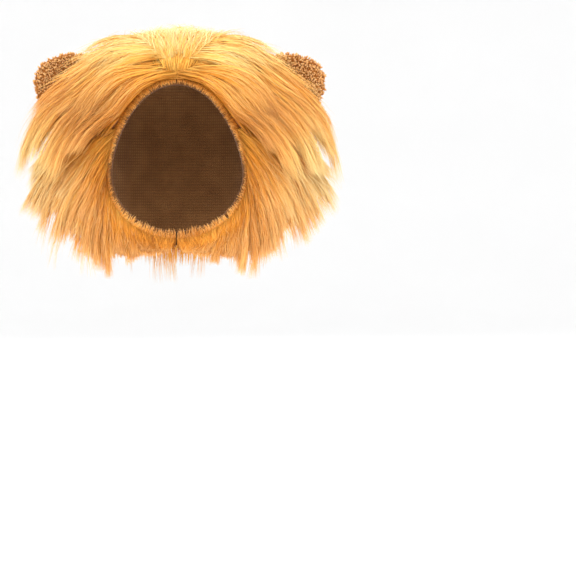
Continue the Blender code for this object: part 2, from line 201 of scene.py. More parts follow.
def aim(turn, back):
    """Direction from the middle of the head, turned round the face and tilted back from it."""
    turn = math.radians(turn)
    back = math.radians(back)
    return Vector((math.sin(back) * math.sin(turn), -math.cos(back), math.sin(back) * math.cos(turn)))


def arch(slant, pitch):
    """Direction on the arch that runs over the head from the face at pitch 0, slanted to one side."""
    slant = math.radians(slant)
    pitch = math.radians(pitch)
    return Vector((math.sin(slant), -math.cos(slant) * math.cos(pitch), math.cos(slant) * math.sin(pitch)))


def hang(azimuth, tilt):
    """Direction tilted from straight up, at an angle round the head from the back."""
    azimuth = math.radians(azimuth)
    tilt = math.radians(tilt)
    return Vector((math.sin(tilt) * math.sin(azimuth), math.sin(tilt) * math.cos(azimuth), math.cos(tilt)))


def turn_of(direction):
    return math.degrees(math.atan2(direction.x, direction.z))


def back_of(direction):
    return math.degrees(math.acos(-direction.normalized().y))


def head_halves(direction):
    """Half sizes of the hollow on the side that a direction points to."""
    depth = HEAD_FRONT if direction.y < 0 else HEAD_BACK
    height = CROWN_RISE if direction.z > 0 else JAW_DROP
    return HEAD_WIDTH / 2, depth, height


def head_reach(direction):
    """Distance from the middle of the head to the outside of the cloth."""
    shares = [abs(part) / half for part, half in zip(direction, head_halves(direction))]
    return sum(share ** HEAD_ROUNDNESS for share in shares) ** (-1 / HEAD_ROUNDNESS) + CLOTH_WALL


def over_head(direction, depth):
    """Point at a depth over the cloth."""
    return HEAD_CENTRE + direction * (head_reach(direction) + depth)


def opening_half_width(height):
    """Half width of the clear face opening at a height."""
    if height > -OPENING_WIDEST:
        share = (height + OPENING_WIDEST) / (OPENING_WIDEST - OPENING_TOP)
        return OPENING_WIDTH / 2 * max(1 - share ** OPENING_TOP_CURVE, 0) ** OPENING_SIDE_CURVE
    share = (-OPENING_WIDEST - height) / (OPENING_BOTTOM - OPENING_WIDEST)
    return OPENING_WIDTH / 2 * math.sqrt(max(1 - share * share, 0))


def edge_back(turn):
    """Angle back from the face at which the clear opening ends, for a turn round it."""
    angle = math.radians(turn)

    def in_opening(distance):
        height = HEAD_CENTRE.z + distance * math.cos(angle)
        level = -OPENING_BOTTOM < height < -OPENING_TOP
        return level and abs(distance * math.sin(angle)) < opening_half_width(height)

    distance = last_inside(0.0, OPENING_WIDTH + OPENING_BOTTOM, in_opening)
    across = distance * math.sin(angle)
    height = distance * math.cos(angle)
    width, depth, rise = head_halves(Vector((across, -1, height)))
    left = 1 - (abs(across) / width) ** HEAD_ROUNDNESS - (abs(height) / rise) ** HEAD_ROUNDNESS
    forward = depth * max(left, 0.02) ** (1 / HEAD_ROUNDNESS)
    return math.degrees(math.atan2(distance, forward))


def angle_for(length, direction):
    """Angle in degrees that a length takes along the cloth."""
    return math.degrees(length / head_reach(direction))


def cloth_edge_back(turn):
    """Angle back at which the cloth of the hood starts, behind the rolled edge."""
    edge = edge_back(turn)
    return edge + angle_for(BINDING_WIDTH + FIT_GAP, aim(turn, edge))


def rim_back(turn):
    """Angle back at which the strands start, over the rolled edge."""
    return edge_back(turn) + 1.2


# Fur forms. Each takes a share along its piece, a share down its hair, and a layer from 0, next to the cloth,
# to 1, the outside of the fur.


def swept_depth(turn, back):
    """Depth of the upper tier over the cloth."""
    open_share = smooth(back, edge_back(turn), 80)
    full = blend(BROW_DEPTH, CROWN_DEPTH, open_share)
    return blend(PARTING_DEPTH, full, smooth(abs(turn), 0, 46))


def upper_point(along, down, layer, start=cloth_edge_back, widen=0.0):
    root_open = read_table(UPPER_LINES, along, "root_open")
    tip_open = read_table(UPPER_LINES, along, "tip_open")
    open_share = blend(root_open, tip_open, down) + widen * along * down
    turn = blend(0, read_table(UPPER_LINES, along, "tip_turn"), down)
    back = blend(start(turn), CROWN_EDGE, open_share)
    outer = swept_depth(turn, back)
    inner = max(FUR_GAP, outer - blend(CROWN_DEPTH, 0.002, smooth(down, 0.45, 1.0)))
    return over_head(aim(turn, back), blend(inner, outer, layer))


def upper_strand_point(along, down, layer):
    """Strands of the upper tier: they reach back to the ears, and flare out past the temples."""
    point = upper_point(along, down, layer, rim_back, widen=UPPER_WIDEN)
    return point + (point - HEAD_CENTRE).normalized() * UPPER_FLARE * max(down - UPPER_FLARE_START, 0)


def lower_point(along, down, layer, start=cloth_edge_back):
    root_turn = read_table(LOWER_LINES, along, "root_turn")
    root_back = blend(start(root_turn), CROWN_EDGE, read_table(LOWER_LINES, along, "root_open"))
    tip = Vector((read_table(LOWER_LINES, along, "across") * MANE_WIDTH / 2,
                  -read_table(LOWER_LINES, along, "forward") * MANE_FORWARD,
                  -read_table(LOWER_LINES, along, "drop") * MANE_DROP))
    tip_way = tip - HEAD_CENTRE
    tip_depth = max(tip_way.length - head_reach(tip_way.normalized()), LOWER_ROOT_DEPTH)
    turn = blend(root_turn, turn_of(tip_way), down)
    back = blend(root_back, back_of(tip_way), down)
    swell = BROW_DEPTH * math.sin(math.pi * min(down * 1.1, 1)) * 0.6
    outer = blend(LOWER_ROOT_DEPTH, tip_depth, down ** 1.8) + swell
    inner = max(FUR_GAP, outer - blend(BACK_DEPTH, 0.002, smooth(down, 0.35, 1.0)))
    point = over_head(aim(turn, back), blend(inner, outer, layer))
    point.x = max(point.x, 0) + FUR_GAP
    return point


def lower_strand_point(along, down, layer):
    return lower_point(along, down, layer, rim_back)


def brow_point(along, down, layer):
    turn = blend(BROW_LOCK_START, 96, down)
    width = BROW_LOCK_SPAN * blend(0.35, 1, smooth(down, 0, 0.5))
    back = cloth_edge_back(turn) + 1 + width * along + blend(0, 9, down)
    thick = BROW_LOCK_DEPTH * blend(0.2, 1, math.sin(math.pi * min(down, 1)))
    return over_head(aim(turn, back), swept_depth(turn, back) + FUR_GAP + thick * layer)


def tuft_strand_point(along, down, layer):
    """Strands of the tuft: they start low at the parting, fan out and come down onto the fur behind."""
    spread = blend(-1, 1, along)
    pitch = blend(edge_back(0) + 1, TUFT_END_PITCH, down)
    direction = arch(spread * blend(8, TUFT_SPREAD * 1.35 + 12 * spread * spread, down), pitch)
    swept = swept_depth(turn_of(direction), min(back_of(direction), CROWN_EDGE))
    behind = blend(BACK_ROOT_DEPTH, BACK_DEPTH, smooth(pitch, 95, 115))
    base = blend(swept, behind, smooth(pitch, 84, 100)) + FUR_GAP
    side_share = max(1 - 1.5 * spread * spread, 0.16)
    lift = TUFT_LIFT * smooth(down, 0.35, 0.7) * (1 - smooth(down, 0.8, 1.0)) * side_share
    depth = base + lift + blend(TUFT_DEPTH, 0.002, smooth(down, 0.8, 1.0)) * side_share * layer
    return over_head(direction, blend(0.0015, depth, smooth(down, -0.06, 0.12)))


def tuft_core_point(along, down, layer):
    """Dense fur under the middle of the tuft."""
    return tuft_strand_point(blend(*TUFT_CORE, along), down, layer)


def back_strand_point(along, down, layer):
    """Strands of the back: they close up behind the ears and below them."""
    return back_point(along, down, layer, behind=85.5, forward=110, turn_in=0.60)


def fringe_point(first, last, along, down, layer):
    """Short hair that leans over the rolled edge into the face opening, between two turns round it."""
    turn = blend(first, last, along)
    back = edge_back(turn) + blend(5, -3, down)
    depth = blend(0.0022, 0.0008, down) + 0.0015 * layer * math.sin(math.pi * down)
    point = over_head(aim(turn, back), depth)
    point.x = max(point.x, 0.0004)
    return point


def brow_fringe_point(along, down, layer):
    return fringe_point(*BROW_FRINGE_TURNS, along, down, layer)


def cheek_fringe_point(along, down, layer):
    return fringe_point(*CHEEK_FRINGE_TURNS, along, down, layer)


def skirt_point(along, down, layer):
    """Short hair over the low sides of the hood, between the lower tier and the back."""
    direction = hang(SKIRT_AZIMUTH * blend(-1, 1, along), blend(*SKIRT_TILTS, down))
    return over_head(direction, blend(0.002, 0.007, down) * (0.4 + 0.6 * layer))


def nap_point(along, down, layer):
    """Hair between the ears that closes the crown behind the upper tier."""
    slant = blend(-EAR_FOOT_TURN, EAR_FOOT_TURN, along)
    depth = blend(swept_depth(slant, CROWN_EDGE), BACK_DEPTH, smooth(down, 0.1, 1))
    return over_head(arch(slant, blend(*NAP_PITCHES, down)), depth * (0.3 + 0.7 * layer))


def back_point(along, down, layer, behind=79, forward=98, turn_in=0.70):
    spread = blend(-1, 1, along)
    behind_ear = blend(86, behind, smooth(down, 0.1, 0.4))
    reach_round = blend(behind_ear, forward, smooth(down, turn_in, turn_in + 0.22))
    azimuth = spread * blend(90, reach_round, abs(spread) ** 5)
    to_side = smooth(abs(spread), 0, 0.75)
    drop = blend(BACK_DROP, BACK_SIDE_DROP, to_side)
    tip_angle = math.degrees(math.atan2(HEAD_WIDTH / 2 + BACK_DEPTH, CROWN_RISE - drop))
    outer = blend(BACK_ROOT_DEPTH, BACK_DEPTH, smooth(down, 0, 0.16))
    outer += (BACK_TIP_DEPTH - BACK_DEPTH) * smooth(down, 0.55, 1.0) * (1 - to_side)
    inner = max(FUR_GAP, outer - blend(BACK_TIP_DEPTH, 0.002, smooth(down, 0.6, 1.0)))
    return over_head(hang(azimuth, blend(5, tip_angle, down)), blend(inner, outer, layer))


class Wire:
    """An output socket in a node tree, so that node maths reads as ordinary expressions."""

    def __init__(self, tree, socket):
        self.tree = tree
        self.socket = socket

    def node(self, kind, settings=None, inputs=None, output=0):
        """Add a node, with settings by name and inputs by name or number, and return one of its outputs."""
        made = self.tree.nodes.new(kind)
        for name, value in (settings or {}).items():
            setattr(made, name, value)
        for name, value in (inputs or {}).items():
            if isinstance(value, Wire):
                self.tree.links.new(value.socket, made.inputs[name])
            else:
                made.inputs[name].default_value = value
        return Wire(self.tree, made.outputs[output])

    def maths(self, operation, *others):
        return self.node("ShaderNodeMath", {"operation": operation}, dict(enumerate((self, *others))))

    def __add__(self, other):
        return self.maths("ADD", other)

    __radd__ = __add__

    def __sub__(self, other):
        return self.maths("SUBTRACT", other)

    def __rsub__(self, other):
        return self.node("ShaderNodeMath", {"operation": "SUBTRACT"}, {0: other, 1: self})

    def __mul__(self, other):
        return self.maths("MULTIPLY", other)

    __rmul__ = __mul__

    def __truediv__(self, other):
        return self.maths("DIVIDE", other)

    def __pow__(self, other):
        return self.maths("POWER", other)

    def clamp(self, low, high):
        return self.maths("MAXIMUM", low).maths("MINIMUM", high)

    def step(self, low, high):
        """Soft rise from 0 to 1 between two limits."""
        return self.node("ShaderNodeMapRange", {"interpolation_type": "SMOOTHSTEP"},
                         {0: self, 1: low, 2: high})

    def vector(self, operation, *others):
        return self.node("ShaderNodeVectorMath", {"operation": operation}, dict(enumerate((self, *others))))

    def scaled(self, factor):
        return self.node("ShaderNodeVectorMath", {"operation": "SCALE"}, {0: self, "Scale": factor})

    def mix_colour(self, first, second):
        """Mix two colours by this factor."""
        return self.node("ShaderNodeMix", {"data_type": "RGBA"}, {0: self, 6: first, 7: second}, output=2)

    def ramp(self, stops):
        """Colour for this value, from a list of (place, colour)."""
        made = self.node("ShaderNodeValToRGB", inputs={0: self})
        elements = made.socket.node.color_ramp.elements
        while len(elements) < len(stops):
            elements.new(0.5)
        for element, (place, colour) in zip(elements, stops):
            element.position = place
            element.color = (*colour, 1)
        return made


def new_material(name, roughness, specular, sheen=0.0):
    """Empty Principled material, with a wire to start its maths from and its shader."""
    made = bpy.data.materials.new(name)
    made.use_nodes = True
    shader = made.node_tree.nodes["Principled BSDF"]
    shader.inputs["Roughness"].default_value = roughness
    shader.inputs["Sheen Weight"].default_value = sheen
    shader.inputs["Specular IOR Level"].default_value = specular
    return made, Wire(made.node_tree, None), shader


def plug(wire, shader, name):
    wire.tree.links.new(wire.socket, shader.inputs[name])


def fur_material(name, stops, tip_colour):
    """Silky fur. The bake map's first part is a strand's tone, and its second part runs from root to tip,
    with painted shade at the root and a paler tip that is partly painted light.
    """
    made, start, shader = new_material(name, roughness=0.5, sheen=0.06, specular=0.22)
    place = start.node("ShaderNodeUVMap", {"uv_map": "OFBake"})
    tone = place.node("ShaderNodeSeparateXYZ", inputs={0: place})
    rise = Wire(made.node_tree, tone.socket.node.outputs[1])
    # Painted shade darkens each strand towards its root
    painted_root_shade = rise.step(0.0, 0.35) * 0.30 + 0.70
    shaded = tone.ramp(stops).scaled(painted_root_shade)
    # Tips go towards the tip colour: paler hair, and painted light shining through the tips
    tip_share = rise.step(0.55, 1.0) * (tone * 0.6 + 0.05)
    plug(tip_share.mix_colour(shaded, (*tip_colour, 1)), shader, "Base Color")
    return made


def plush_material(name, dark, middle, light):
    """Curly plush, with painted shade low between its tufts and paler tips that carry a painted highlight."""
    made, start, shader = new_material(name, roughness=0.75, sheen=0.3, specular=0.2)
    place = start.node("ShaderNodeUVMap", {"uv_map": "OFBake"})
    tone = place.node("ShaderNodeSeparateXYZ", inputs={0: place})
    rise = Wire(made.node_tree, tone.socket.node.outputs[1])
    mixed = (rise * 0.75 + tone * 0.35).clamp(0, 1)
    plug(mixed.ramp([(0.0, dark), (0.5, middle), (1.0, light)]), shader, "Base Color")
    return made


def cloth_material(name, dark, light, pitch, relief):
    """Knitted backing, with ribs a pitch apart in both directions and uneven dye."""
    made, start, shader = new_material(name, roughness=0.9, sheen=0.2, specular=0.15)
    place = start.node("ShaderNodeTexCoord", output="Object")
    scale = math.tau / 20 / pitch
    wales = place.node("ShaderNodeTexWave", {"bands_direction": "X"},
                       {"Vector": place, "Scale": scale, "Distortion": 0.6, "Detail": 1.0}, "Fac")
    courses = place.node("ShaderNodeTexWave", {"bands_direction": "Z"},
                         {"Vector": place, "Scale": scale * 0.7, "Distortion": 0.6}, "Fac")
    uneven = place.node("ShaderNodeTexNoise",
                        inputs={"Vector": place, "Scale": 60.0, "Detail": 4.0}, output="Fac")
    loops = wales * courses
    plug((uneven * 0.6 + loops * 0.4).ramp([(0.25, dark), (0.8, light)]), shader, "Base Color")
    height = loops + uneven * 0.3
    bump = loops.node("ShaderNodeBump", inputs={"Strength": 0.6, "Distance": relief, "Height": height},
                      output="Normal")
    plug(bump, shader, "Normal")
    return made


# Colours of each finish beside the main one, which is in the panel. Fur runs from its deepest tone to its
# palest, and the main colour is in the middle.
# The tip colour is partly paler hair and partly painted light shining through the tips.
FUR_LOOKS = {
    "golden_fur": {"deepest": (0.36, 0.105, 0.008), "deep": (0.72, 0.255, 0.022), "pale": (0.97, 0.57, 0.12),
                   "palest": (0.99, 0.76, 0.32), "tip": (0.99, 0.78, 0.38)},
    "amber_fur": {"deepest": (0.34, 0.098, 0.008), "deep": (0.68, 0.235, 0.020), "pale": (0.96, 0.53, 0.11),
                  "palest": (0.99, 0.74, 0.32), "tip": (0.99, 0.80, 0.45)},
    "pale_fur": {"deepest": (0.37, 0.110, 0.009), "deep": (0.73, 0.265, 0.024), "pale": (0.975, 0.59, 0.135),
                 "palest": (0.99, 0.77, 0.35), "tip": (0.99, 0.79, 0.41)},
}
CLOTH_LOOKS = {
    "plush_cloth": {"dark": (0.17, 0.070, 0.020), "pitch": 0.0016, "relief": 0.0006},
    "rolled_edge": {"dark": (0.12, 0.042, 0.010), "pitch": 0.0011, "relief": 0.0004},
    "closing_tab": {"dark": (0.05, 0.025, 0.012), "pitch": 0.0009, "relief": 0.0005},
}
# The pile is dark at its roots, painted shade between the tufts, and pale at its tips, partly paler pile and
# partly painted highlight.
EAR_SHADED_ROOTS = (0.26, 0.075, 0.008)
EAR_PALE_LIT_TIPS = (0.96, 0.60, 0.25)


def material(name):
    """Find a material by its slot's name, or make it."""
    look = "look_" + name
    found = bpy.data.materials.get(look)
    if found:
        return found
    main_colour = tuple(getattr(bpy.context.scene.wig_colours, name))
    if name in FUR_LOOKS:
        tones = FUR_LOOKS[name]
        stops = [(0.0, tones["deepest"]), (0.25, tones["deep"]), (0.5, main_colour), (0.75, tones["pale"]),
                 (1.0, tones["palest"])]
        return fur_material(look, stops, tones["tip"])
    if name in CLOTH_LOOKS:
        cloth = CLOTH_LOOKS[name]
        return cloth_material(look, cloth["dark"], main_colour, cloth["pitch"], cloth["relief"])
    if name == "ear_plush":
        return plush_material(look, EAR_SHADED_ROOTS, main_colour, EAR_PALE_LIT_TIPS)
    raise ValueError("no look is known for " + name)


def link(name, mesh):
    made = bpy.data.objects.new(name, mesh)
    bpy.context.scene.collection.objects.link(made)
    return made


def finished_mesh(made):
    """Plain mesh of an object with its modifiers worked in."""
    bpy.context.view_layer.update()
    evaluated = made.evaluated_get(bpy.context.evaluated_depsgraph_get())
    return bpy.data.meshes.new_from_object(evaluated)


def form_mesh(name, form):
    """Smooth mesh of a finished form, which is let go."""
    mesh = bpy.data.meshes.new(name)
    form.to_mesh(mesh)
    form.free()
    mesh.shade_smooth()
    return mesh


def bridge(form, lines, closed=False):
    """Fill a form with faces between each line of points and the next."""
    for first, second in zip(lines, lines[1:]):
        for step in range(len(first) if closed else len(first) - 1):
            after = (step + 1) % len(first)
            form.faces.new((first[step], second[step], second[after], first[after]))


def settle(made, node):
    """Give a finished piece its place in the frame: what it rides on, and the part that it stands for, which
    is hidden.
    """
    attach(made, "root")
    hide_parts(node)


def fur_tone(point):
    """Tone of the fur at a place, 0 for the deepest and 1 for the palest, with painted shade in some spots of
    the front.
    """
    tone = 0.50 + 0.10 * noise.noise(point * 38) + 0.07 * noise.noise(point * 120)
    if point.y < 0.03:
        for spot in TONE_SPOTS:
            across = (abs(point.x) - spot["x"]) / spot["wide"]
            up = (point.z - spot["z"]) / spot["high"]
            tone += spot["tone"] * math.exp(-across * across - up * up)
    else:
        tone += 0.10 * smooth(point.z, -0.05, 0.02) + 0.12 * smooth(-point.z, 0.13, 0.17)
    return tone


def flow_sheet(name, point_at, side, layer, reach, columns=48, rows=28):
    """Guide surface for strands, with a map of shares along and down.

    It also holds the way across, the fur's tone, and the length of the hair as a share of the longest.
    """
    mesh = bpy.data.meshes.new(name)
    points, faces, shares = [], [], []
    for column in range(columns + 1):
        for row in range(rows + 1):
            along, down = column / columns, row / rows
            point = point_at(along, down * reach, layer)
            point.x *= side
            points.append(point)
            shares.append((along, down))
    for column in range(columns):
        for row in range(rows):
            first = column * (rows + 1) + row
            faces.append((first, first + rows + 1, first + rows + 2, first + 1))
    middle = faces[len(faces) // 2]
    normal = (points[middle[1]] - points[middle[0]]).cross(points[middle[3]] - points[middle[0]])
    if normal.dot(points[middle[0]] - HEAD_CENTRE) < 0:
        faces = [face[::-1] for face in faces]
    mesh.from_pydata(points, [], faces)
    shares_map = mesh.uv_layers.new(name="shares")
    for loop in mesh.loops:
        shares_map.data[loop.index].uv = shares[loop.vertex_index]
    for label, kind in (("across", "FLOAT_VECTOR"), ("tone", "FLOAT"), ("length", "FLOAT")):
        mesh.attributes.new(label, kind, "POINT")
    # They are looked up only now, because each new attribute moves the earlier ones
    across, tone, length = [mesh.attributes[label] for label in ("across", "tone", "length")]
    for column in range(columns + 1):
        for row in range(rows + 1):
            index = column * (rows + 1) + row
            before = max(column - 1, 0) * (rows + 1) + row
            after = min(column + 1, columns) * (rows + 1) + row
            across.data[index].vector = (points[after] - points[before]).normalized()
            tone.data[index].value = fur_tone(points[index])
            span = (points[column * (rows + 1) + rows] - points[column * (rows + 1)]).length
            length.data[index].value = min(span / LONG_HAIR, 1)
    mesh.shade_smooth()
    return link(name, mesh)


def blade_template(rises=(0.0, 0.3, 0.58, 0.82)):
    """One flat strand: pairs of points at each rise and a single one at its tip."""
    mesh = bpy.data.meshes.new("strand blade")
    points = [(side, rise, 0) for rise in rises for side in (-0.5, 0.5)] + [(0, 1, 0)]
    faces = [(2 * pair, 2 * pair + 1, 2 * pair + 3, 2 * pair + 2) for pair in range(len(rises) - 1)]
    faces.append((len(points) - 3, len(points) - 2, len(points) - 1))
    mesh.from_pydata(points, [], faces)
    for name, part, factor in (("side", 0, 2), ("rise", 1, 1)):
        attribute = mesh.attributes.new(name, "FLOAT", "POINT")
        for index, point in enumerate(points):
            attribute.data[index].value = point[part] * factor
    return link("strand blade", mesh)


STRAND_NUMBERS = ("Strands", "Seed", "Locks")
STRAND_SHARES = ("Along From", "Along To", "Root From", "Root To", "Shortest", "Longest", "Width",
                 "Root Lift", "Tip Lift", "Relief", "Clump", "Fray", "Wave", "Droop", "Tone", "Tone Spread",
                 "Tip Cut")
STRAND_INPUTS = [
    *[(name, "NodeSocketInt") for name in STRAND_NUMBERS],
    *[(name, "NodeSocketFloat") for name in STRAND_SHARES],
    ("Blade", "NodeSocketObject"),
    ("Material", "NodeSocketMaterial"),
]


def new_tree(name, inputs):
    """Empty node tree with named inputs, and a wire for each of them."""
    tree = bpy.data.node_groups.new(name, "GeometryNodeTree")
    tree.interface.new_socket("Geometry", in_out="INPUT", socket_type="NodeSocketGeometry")
    for label, kind in inputs:
        tree.interface.new_socket(label, in_out="INPUT", socket_type=kind)
    tree.interface.new_socket("Geometry", in_out="OUTPUT", socket_type="NodeSocketGeometry")
    source = tree.nodes.new("NodeGroupInput")
    return tree, {socket.name: Wire(tree, socket) for socket in source.outputs if socket.name}


def end_tree(tree, shaded):
    output = tree.nodes.new("NodeGroupOutput")
    tree.links.new(shaded.socket, output.inputs[0])
    return tree


def run_tree(made, tree, values):
    """Plain mesh of an object with a node tree worked in, its inputs set by name."""
    modifier = made.modifiers.new("nodes", "NODES")
    modifier.node_group = tree
    for item in tree.interface.items_tree:
        if item.in_out == "INPUT" and item.name in values:
            modifier[item.identifier] = values[item.name]
    made.update_tag()
    mesh = finished_mesh(made)
    bpy.data.objects.remove(made, do_unlink=True)
    return mesh


def strand_tree():
    """Node tree that combs tapered strands over a guide surface and gathers them into locks."""
    found = bpy.data.node_groups.get("combed strands")
    if found:
        return found
    tree, given = new_tree("combed strands", STRAND_INPUTS)
    sheet = given["Geometry"]

    def attribute(name, kind="FLOAT"):
        return sheet.node("GeometryNodeInputNamedAttribute", {"data_type": kind}, {"Name": name})

    blade = sheet.node("GeometryNodeObjectInfo", inputs={"Object": given["Blade"]}, output="Geometry")
    points = sheet.node("GeometryNodePoints", inputs={"Count": given["Strands"]})
    copies = points.node("GeometryNodeInstanceOnPoints", inputs={"Points": points, "Instance": blade})
    index = sheet.node("GeometryNodeInputIndex")
    numbered = copies.node("GeometryNodeStoreNamedAttribute", {"data_type": "INT", "domain": "INSTANCE"},
                           {"Geometry": copies, "Name": "strand", "Value": index})
    strands = numbered.node("GeometryNodeRealizeInstances", inputs={"Geometry": numbered})
    number, rise, side = attribute("strand", "INT"), attribute("rise"), attribute("side")

    def chance(step, of=number):
        """Random value from 0 to 1 for each strand or lock."""
        return sheet.node("FunctionNodeRandomValue", {"data_type": "FLOAT"},
                          {2: 0.0, 3: 1.0, "ID": of, "Seed": given["Seed"] + step}, output=1)

    along = given["Along From"] + (given["Along To"] - given["Along From"]) * chance(1)
    lock = (along * given["Locks"] + (chance(2) - 0.5) * 0.5).maths("FLOOR")
    lock_chance = chance(3, lock)
    centre = (lock + 0.5 + (lock_chance - 0.5) * 0.5) / given["Locks"]
    root = given["Root From"] + (given["Root To"] - given["Root From"]) * chance(4)
    lock_end = 1 - chance(5, lock) * given["Tip Cut"]
    strand_end = root + given["Shortest"] + (given["Longest"] - given["Shortest"]) * chance(6)
    down = root + (strand_end.maths("MINIMUM", lock_end) - root) * rise
    gather = given["Clump"] * rise * down.step(0.15, 0.85)
    bend = sheet.node("ShaderNodeCombineXYZ", inputs={
        "X": lock * 0.37 + chance(13) * 0.25, "Y": down * 2.2, "Z": given["Seed"] * 1.7})
    bend = sheet.node("ShaderNodeTexNoise",
                      inputs={"Vector": bend, "Scale": 1.0, "Detail": 1.0}, output="Fac")
    sway = (bend - 0.5) * given["Wave"] * down.step(0.0, 0.5)
    stray = (chance(7) - 0.5) * given["Fray"] * rise * rise
    share = (along + (centre - along) * gather + sway + stray).clamp(STRAND_END, 1 - STRAND_END)
    spot = sheet.node("ShaderNodeCombineXYZ",
                      inputs={"X": share, "Y": down.clamp(STRAND_END, 1 - STRAND_END)})
    shares_map = attribute("shares", "FLOAT_VECTOR")

    def on_sheet(value):
        return sheet.node("GeometryNodeSampleUVSurface", {"data_type": "FLOAT_VECTOR"},
                          {"Mesh": sheet, "Value": value, "UV Map": shares_map, "Sample UV": spot})

    place = on_sheet(sheet.node("GeometryNodeInputPosition"))
    outward = on_sheet(sheet.node("GeometryNodeInputNormal")).vector("NORMALIZE")
    across = on_sheet(attribute("across", "FLOAT_VECTOR")).vector("NORMALIZE")
    tone = on_sheet(attribute("tone"))
    tone = tone.node("ShaderNodeSeparateXYZ", inputs={0: tone})
    length = on_sheet(attribute("length"))
    length = length.node("ShaderNodeSeparateXYZ", inputs={0: length})
    ridge = 1 - ((share * given["Locks"]).maths("FRACT") * 2 - 1) ** 2
    tip_lift = given["Tip Lift"] * (chance(8) * 0.9 + 0.3)
    lift = given["Root Lift"] + (tip_lift - given["Root Lift"]) * rise ** 1.3
    lift = (lift + given["Relief"] * ridge * (chance(9) * 0.6 + 0.4)) * length
    half = given["Width"] * (chance(10) + 0.5) * (1 - rise * rise * 0.75) * side * 0.5
    twist = (chance(11) - 0.5) * 1.7
    sideways = across.scaled(half * twist.maths("COSINE"))
    offset = sideways.vector("ADD", outward.scaled(lift + half * twist.maths("SINE")))
    droop = sheet.node("ShaderNodeCombineXYZ", inputs={"Z": given["Droop"] * rise * rise * -1})
    moved = place.vector("ADD", offset).vector("ADD", droop)
    combed = strands.node("GeometryNodeSetPosition", inputs={"Geometry": strands, "Position": moved})
    strand_tone = tone + given["Tone"] + (chance(12) - 0.5) * given["Tone Spread"]
    # The last term is painted shade: strands in the valleys between locks are a little deeper.
    strand_tone = strand_tone + (lock_chance - 0.5) * given["Tone Spread"] * 0.6 - (1 - ridge) * 0.06
    bake_map = sheet.node("ShaderNodeCombineXYZ", inputs={
        "X": strand_tone.clamp(0.02, 0.98) + side * 0.006, "Y": rise * 0.96 + 0.02})
    mapped = combed.node("GeometryNodeStoreNamedAttribute", {"data_type": "FLOAT2", "domain": "CORNER"},
                         {"Geometry": combed, "Name": "OFBake", "Value": bake_map})
    for name in ("side", "rise", "strand"):
        mapped = mapped.node("GeometryNodeRemoveAttribute", inputs={"Geometry": mapped, "Name": name})
    return end_tree(tree, mapped.node("GeometryNodeSetMaterial",
                                      inputs={"Geometry": mapped, "Material": given["Material"]}))


def underfur(name, point_at, side, locks, body, full, columns_per_lock=4, rows=22):
    """Dense fur that backs the strands: a closed form with a ridge for each lock and ends like a comb.

    It reaches down to the share body between its locks and to the share full along them.
    """
    form = bmesh.new()
    bake_map = form.loops.layers.uv.new("OFBake")
    columns = locks * columns_per_lock
    outer, inner, tones = [], [], {}
    for column in range(columns + 1):
        along = column / columns
        ridge = 1 - abs(math.sin(math.pi * along * locks + math.pi / 2)) ** 0.7
        reach = blend(body, full, ridge)
        lines = ([], [])
        for row in range(rows + 1):
            down = reach * row / rows
            for line, layer in zip(lines, (0.22 + 0.30 * ridge * min(down * 2, 1), 0.05)):
                point = point_at(along, down, layer)
                point.x *= side
                vert = form.verts.new(point)
                line.append(vert)
                # The underfur is deeper than the strands over it, painted shade in the gaps between them, and
                # paler on each lock's ridge, painted shade in the valleys between locks. Its low rise gives
                # it the painted shade of the roots.
                streak = noise.noise(Vector((along * locks * 5.3, down * 2.0, 3.1)))
                tones[vert] = (min(max(fur_tone(point) - 0.16 + 0.16 * streak + 0.10 * ridge, 0.03), 0.9),
                               0.06 + 0.50 * down)
        outer.append(lines[0])
        inner.append(lines[1])
    bridge(form, outer)
    bridge(form, inner)
    for row in (0, rows):
        for over, over_next, under, under_next in zip(outer, outer[1:], inner, inner[1:]):
            form.faces.new((over[row], over_next[row], under_next[row], under[row]))
    for column in (0, columns):
        over, under = outer[column], inner[column]
        for row in range(rows):
            form.faces.new((over[row], over[row + 1], under[row + 1], under[row]))
    bmesh.ops.recalc_face_normals(form, faces=form.faces)
    for face in form.faces:
        for number, loop in enumerate(face.loops):
            tone, rise = tones[loop.vert]
            loop[bake_map].uv = (tone + 0.002 * number, rise)
    return form_mesh(name, form)


def join_meshes(name, meshes, slot):
    """One object from several meshes that share a material."""
    form = bmesh.new()
    for mesh in meshes:
        form.from_mesh(mesh)
        bpy.data.meshes.remove(mesh)
    joined = form_mesh(name, form)
    joined.materials.append(material(slot))
    for polygon in joined.polygons:
        polygon.material_index = 0
    return link(name, joined)


LAYER_SEED_STEP = 40
LEFT_SEED_STEP = 20

# What a layer of strands has where its own row says nothing
PLAIN_LAYER = {"Along From": 0.0, "Along To": 1.0, "reach": 1.0, "Root From": 0.0, "Root Lift": 0.0,
               "Relief": 0.001, "Droop": 0.0, "Tone": 0.0, "Tone Spread": 0.26, "Tip Cut": 0.2}


def make_fur(name, node, slot, point_at, strand_point, side, body, layers, full=0.93):
    """A tier of fur: dense underfur and one or more layers of combed strands over it."""
    fur = bpy.context.scene.wig_fur
    blade = bpy.data.objects.get("strand blade") or blade_template()
    meshes = [underfur(name, point_at, side, layers[0]["Locks"], body, full)]
    for number, values in enumerate(layers):
        values = {**PLAIN_LAYER, **values}
        guide = values.pop("guide", strand_point)
        sheet = flow_sheet(name + " guide", guide, side, values.pop("layer"), values.pop("reach"))
        values["Strands"] = int(values["Strands"] * fur.density)
        values["Width"] = fur.strand_width
        values["Seed"] = fur.seed + LAYER_SEED_STEP * number + (LEFT_SEED_STEP if side < 0 else 0)
        values["Blade"] = blade
        values["Material"] = material(slot)
        meshes.append(run_tree(sheet, strand_tree(), values))
    settle(join_meshes(name, meshes, slot), node)


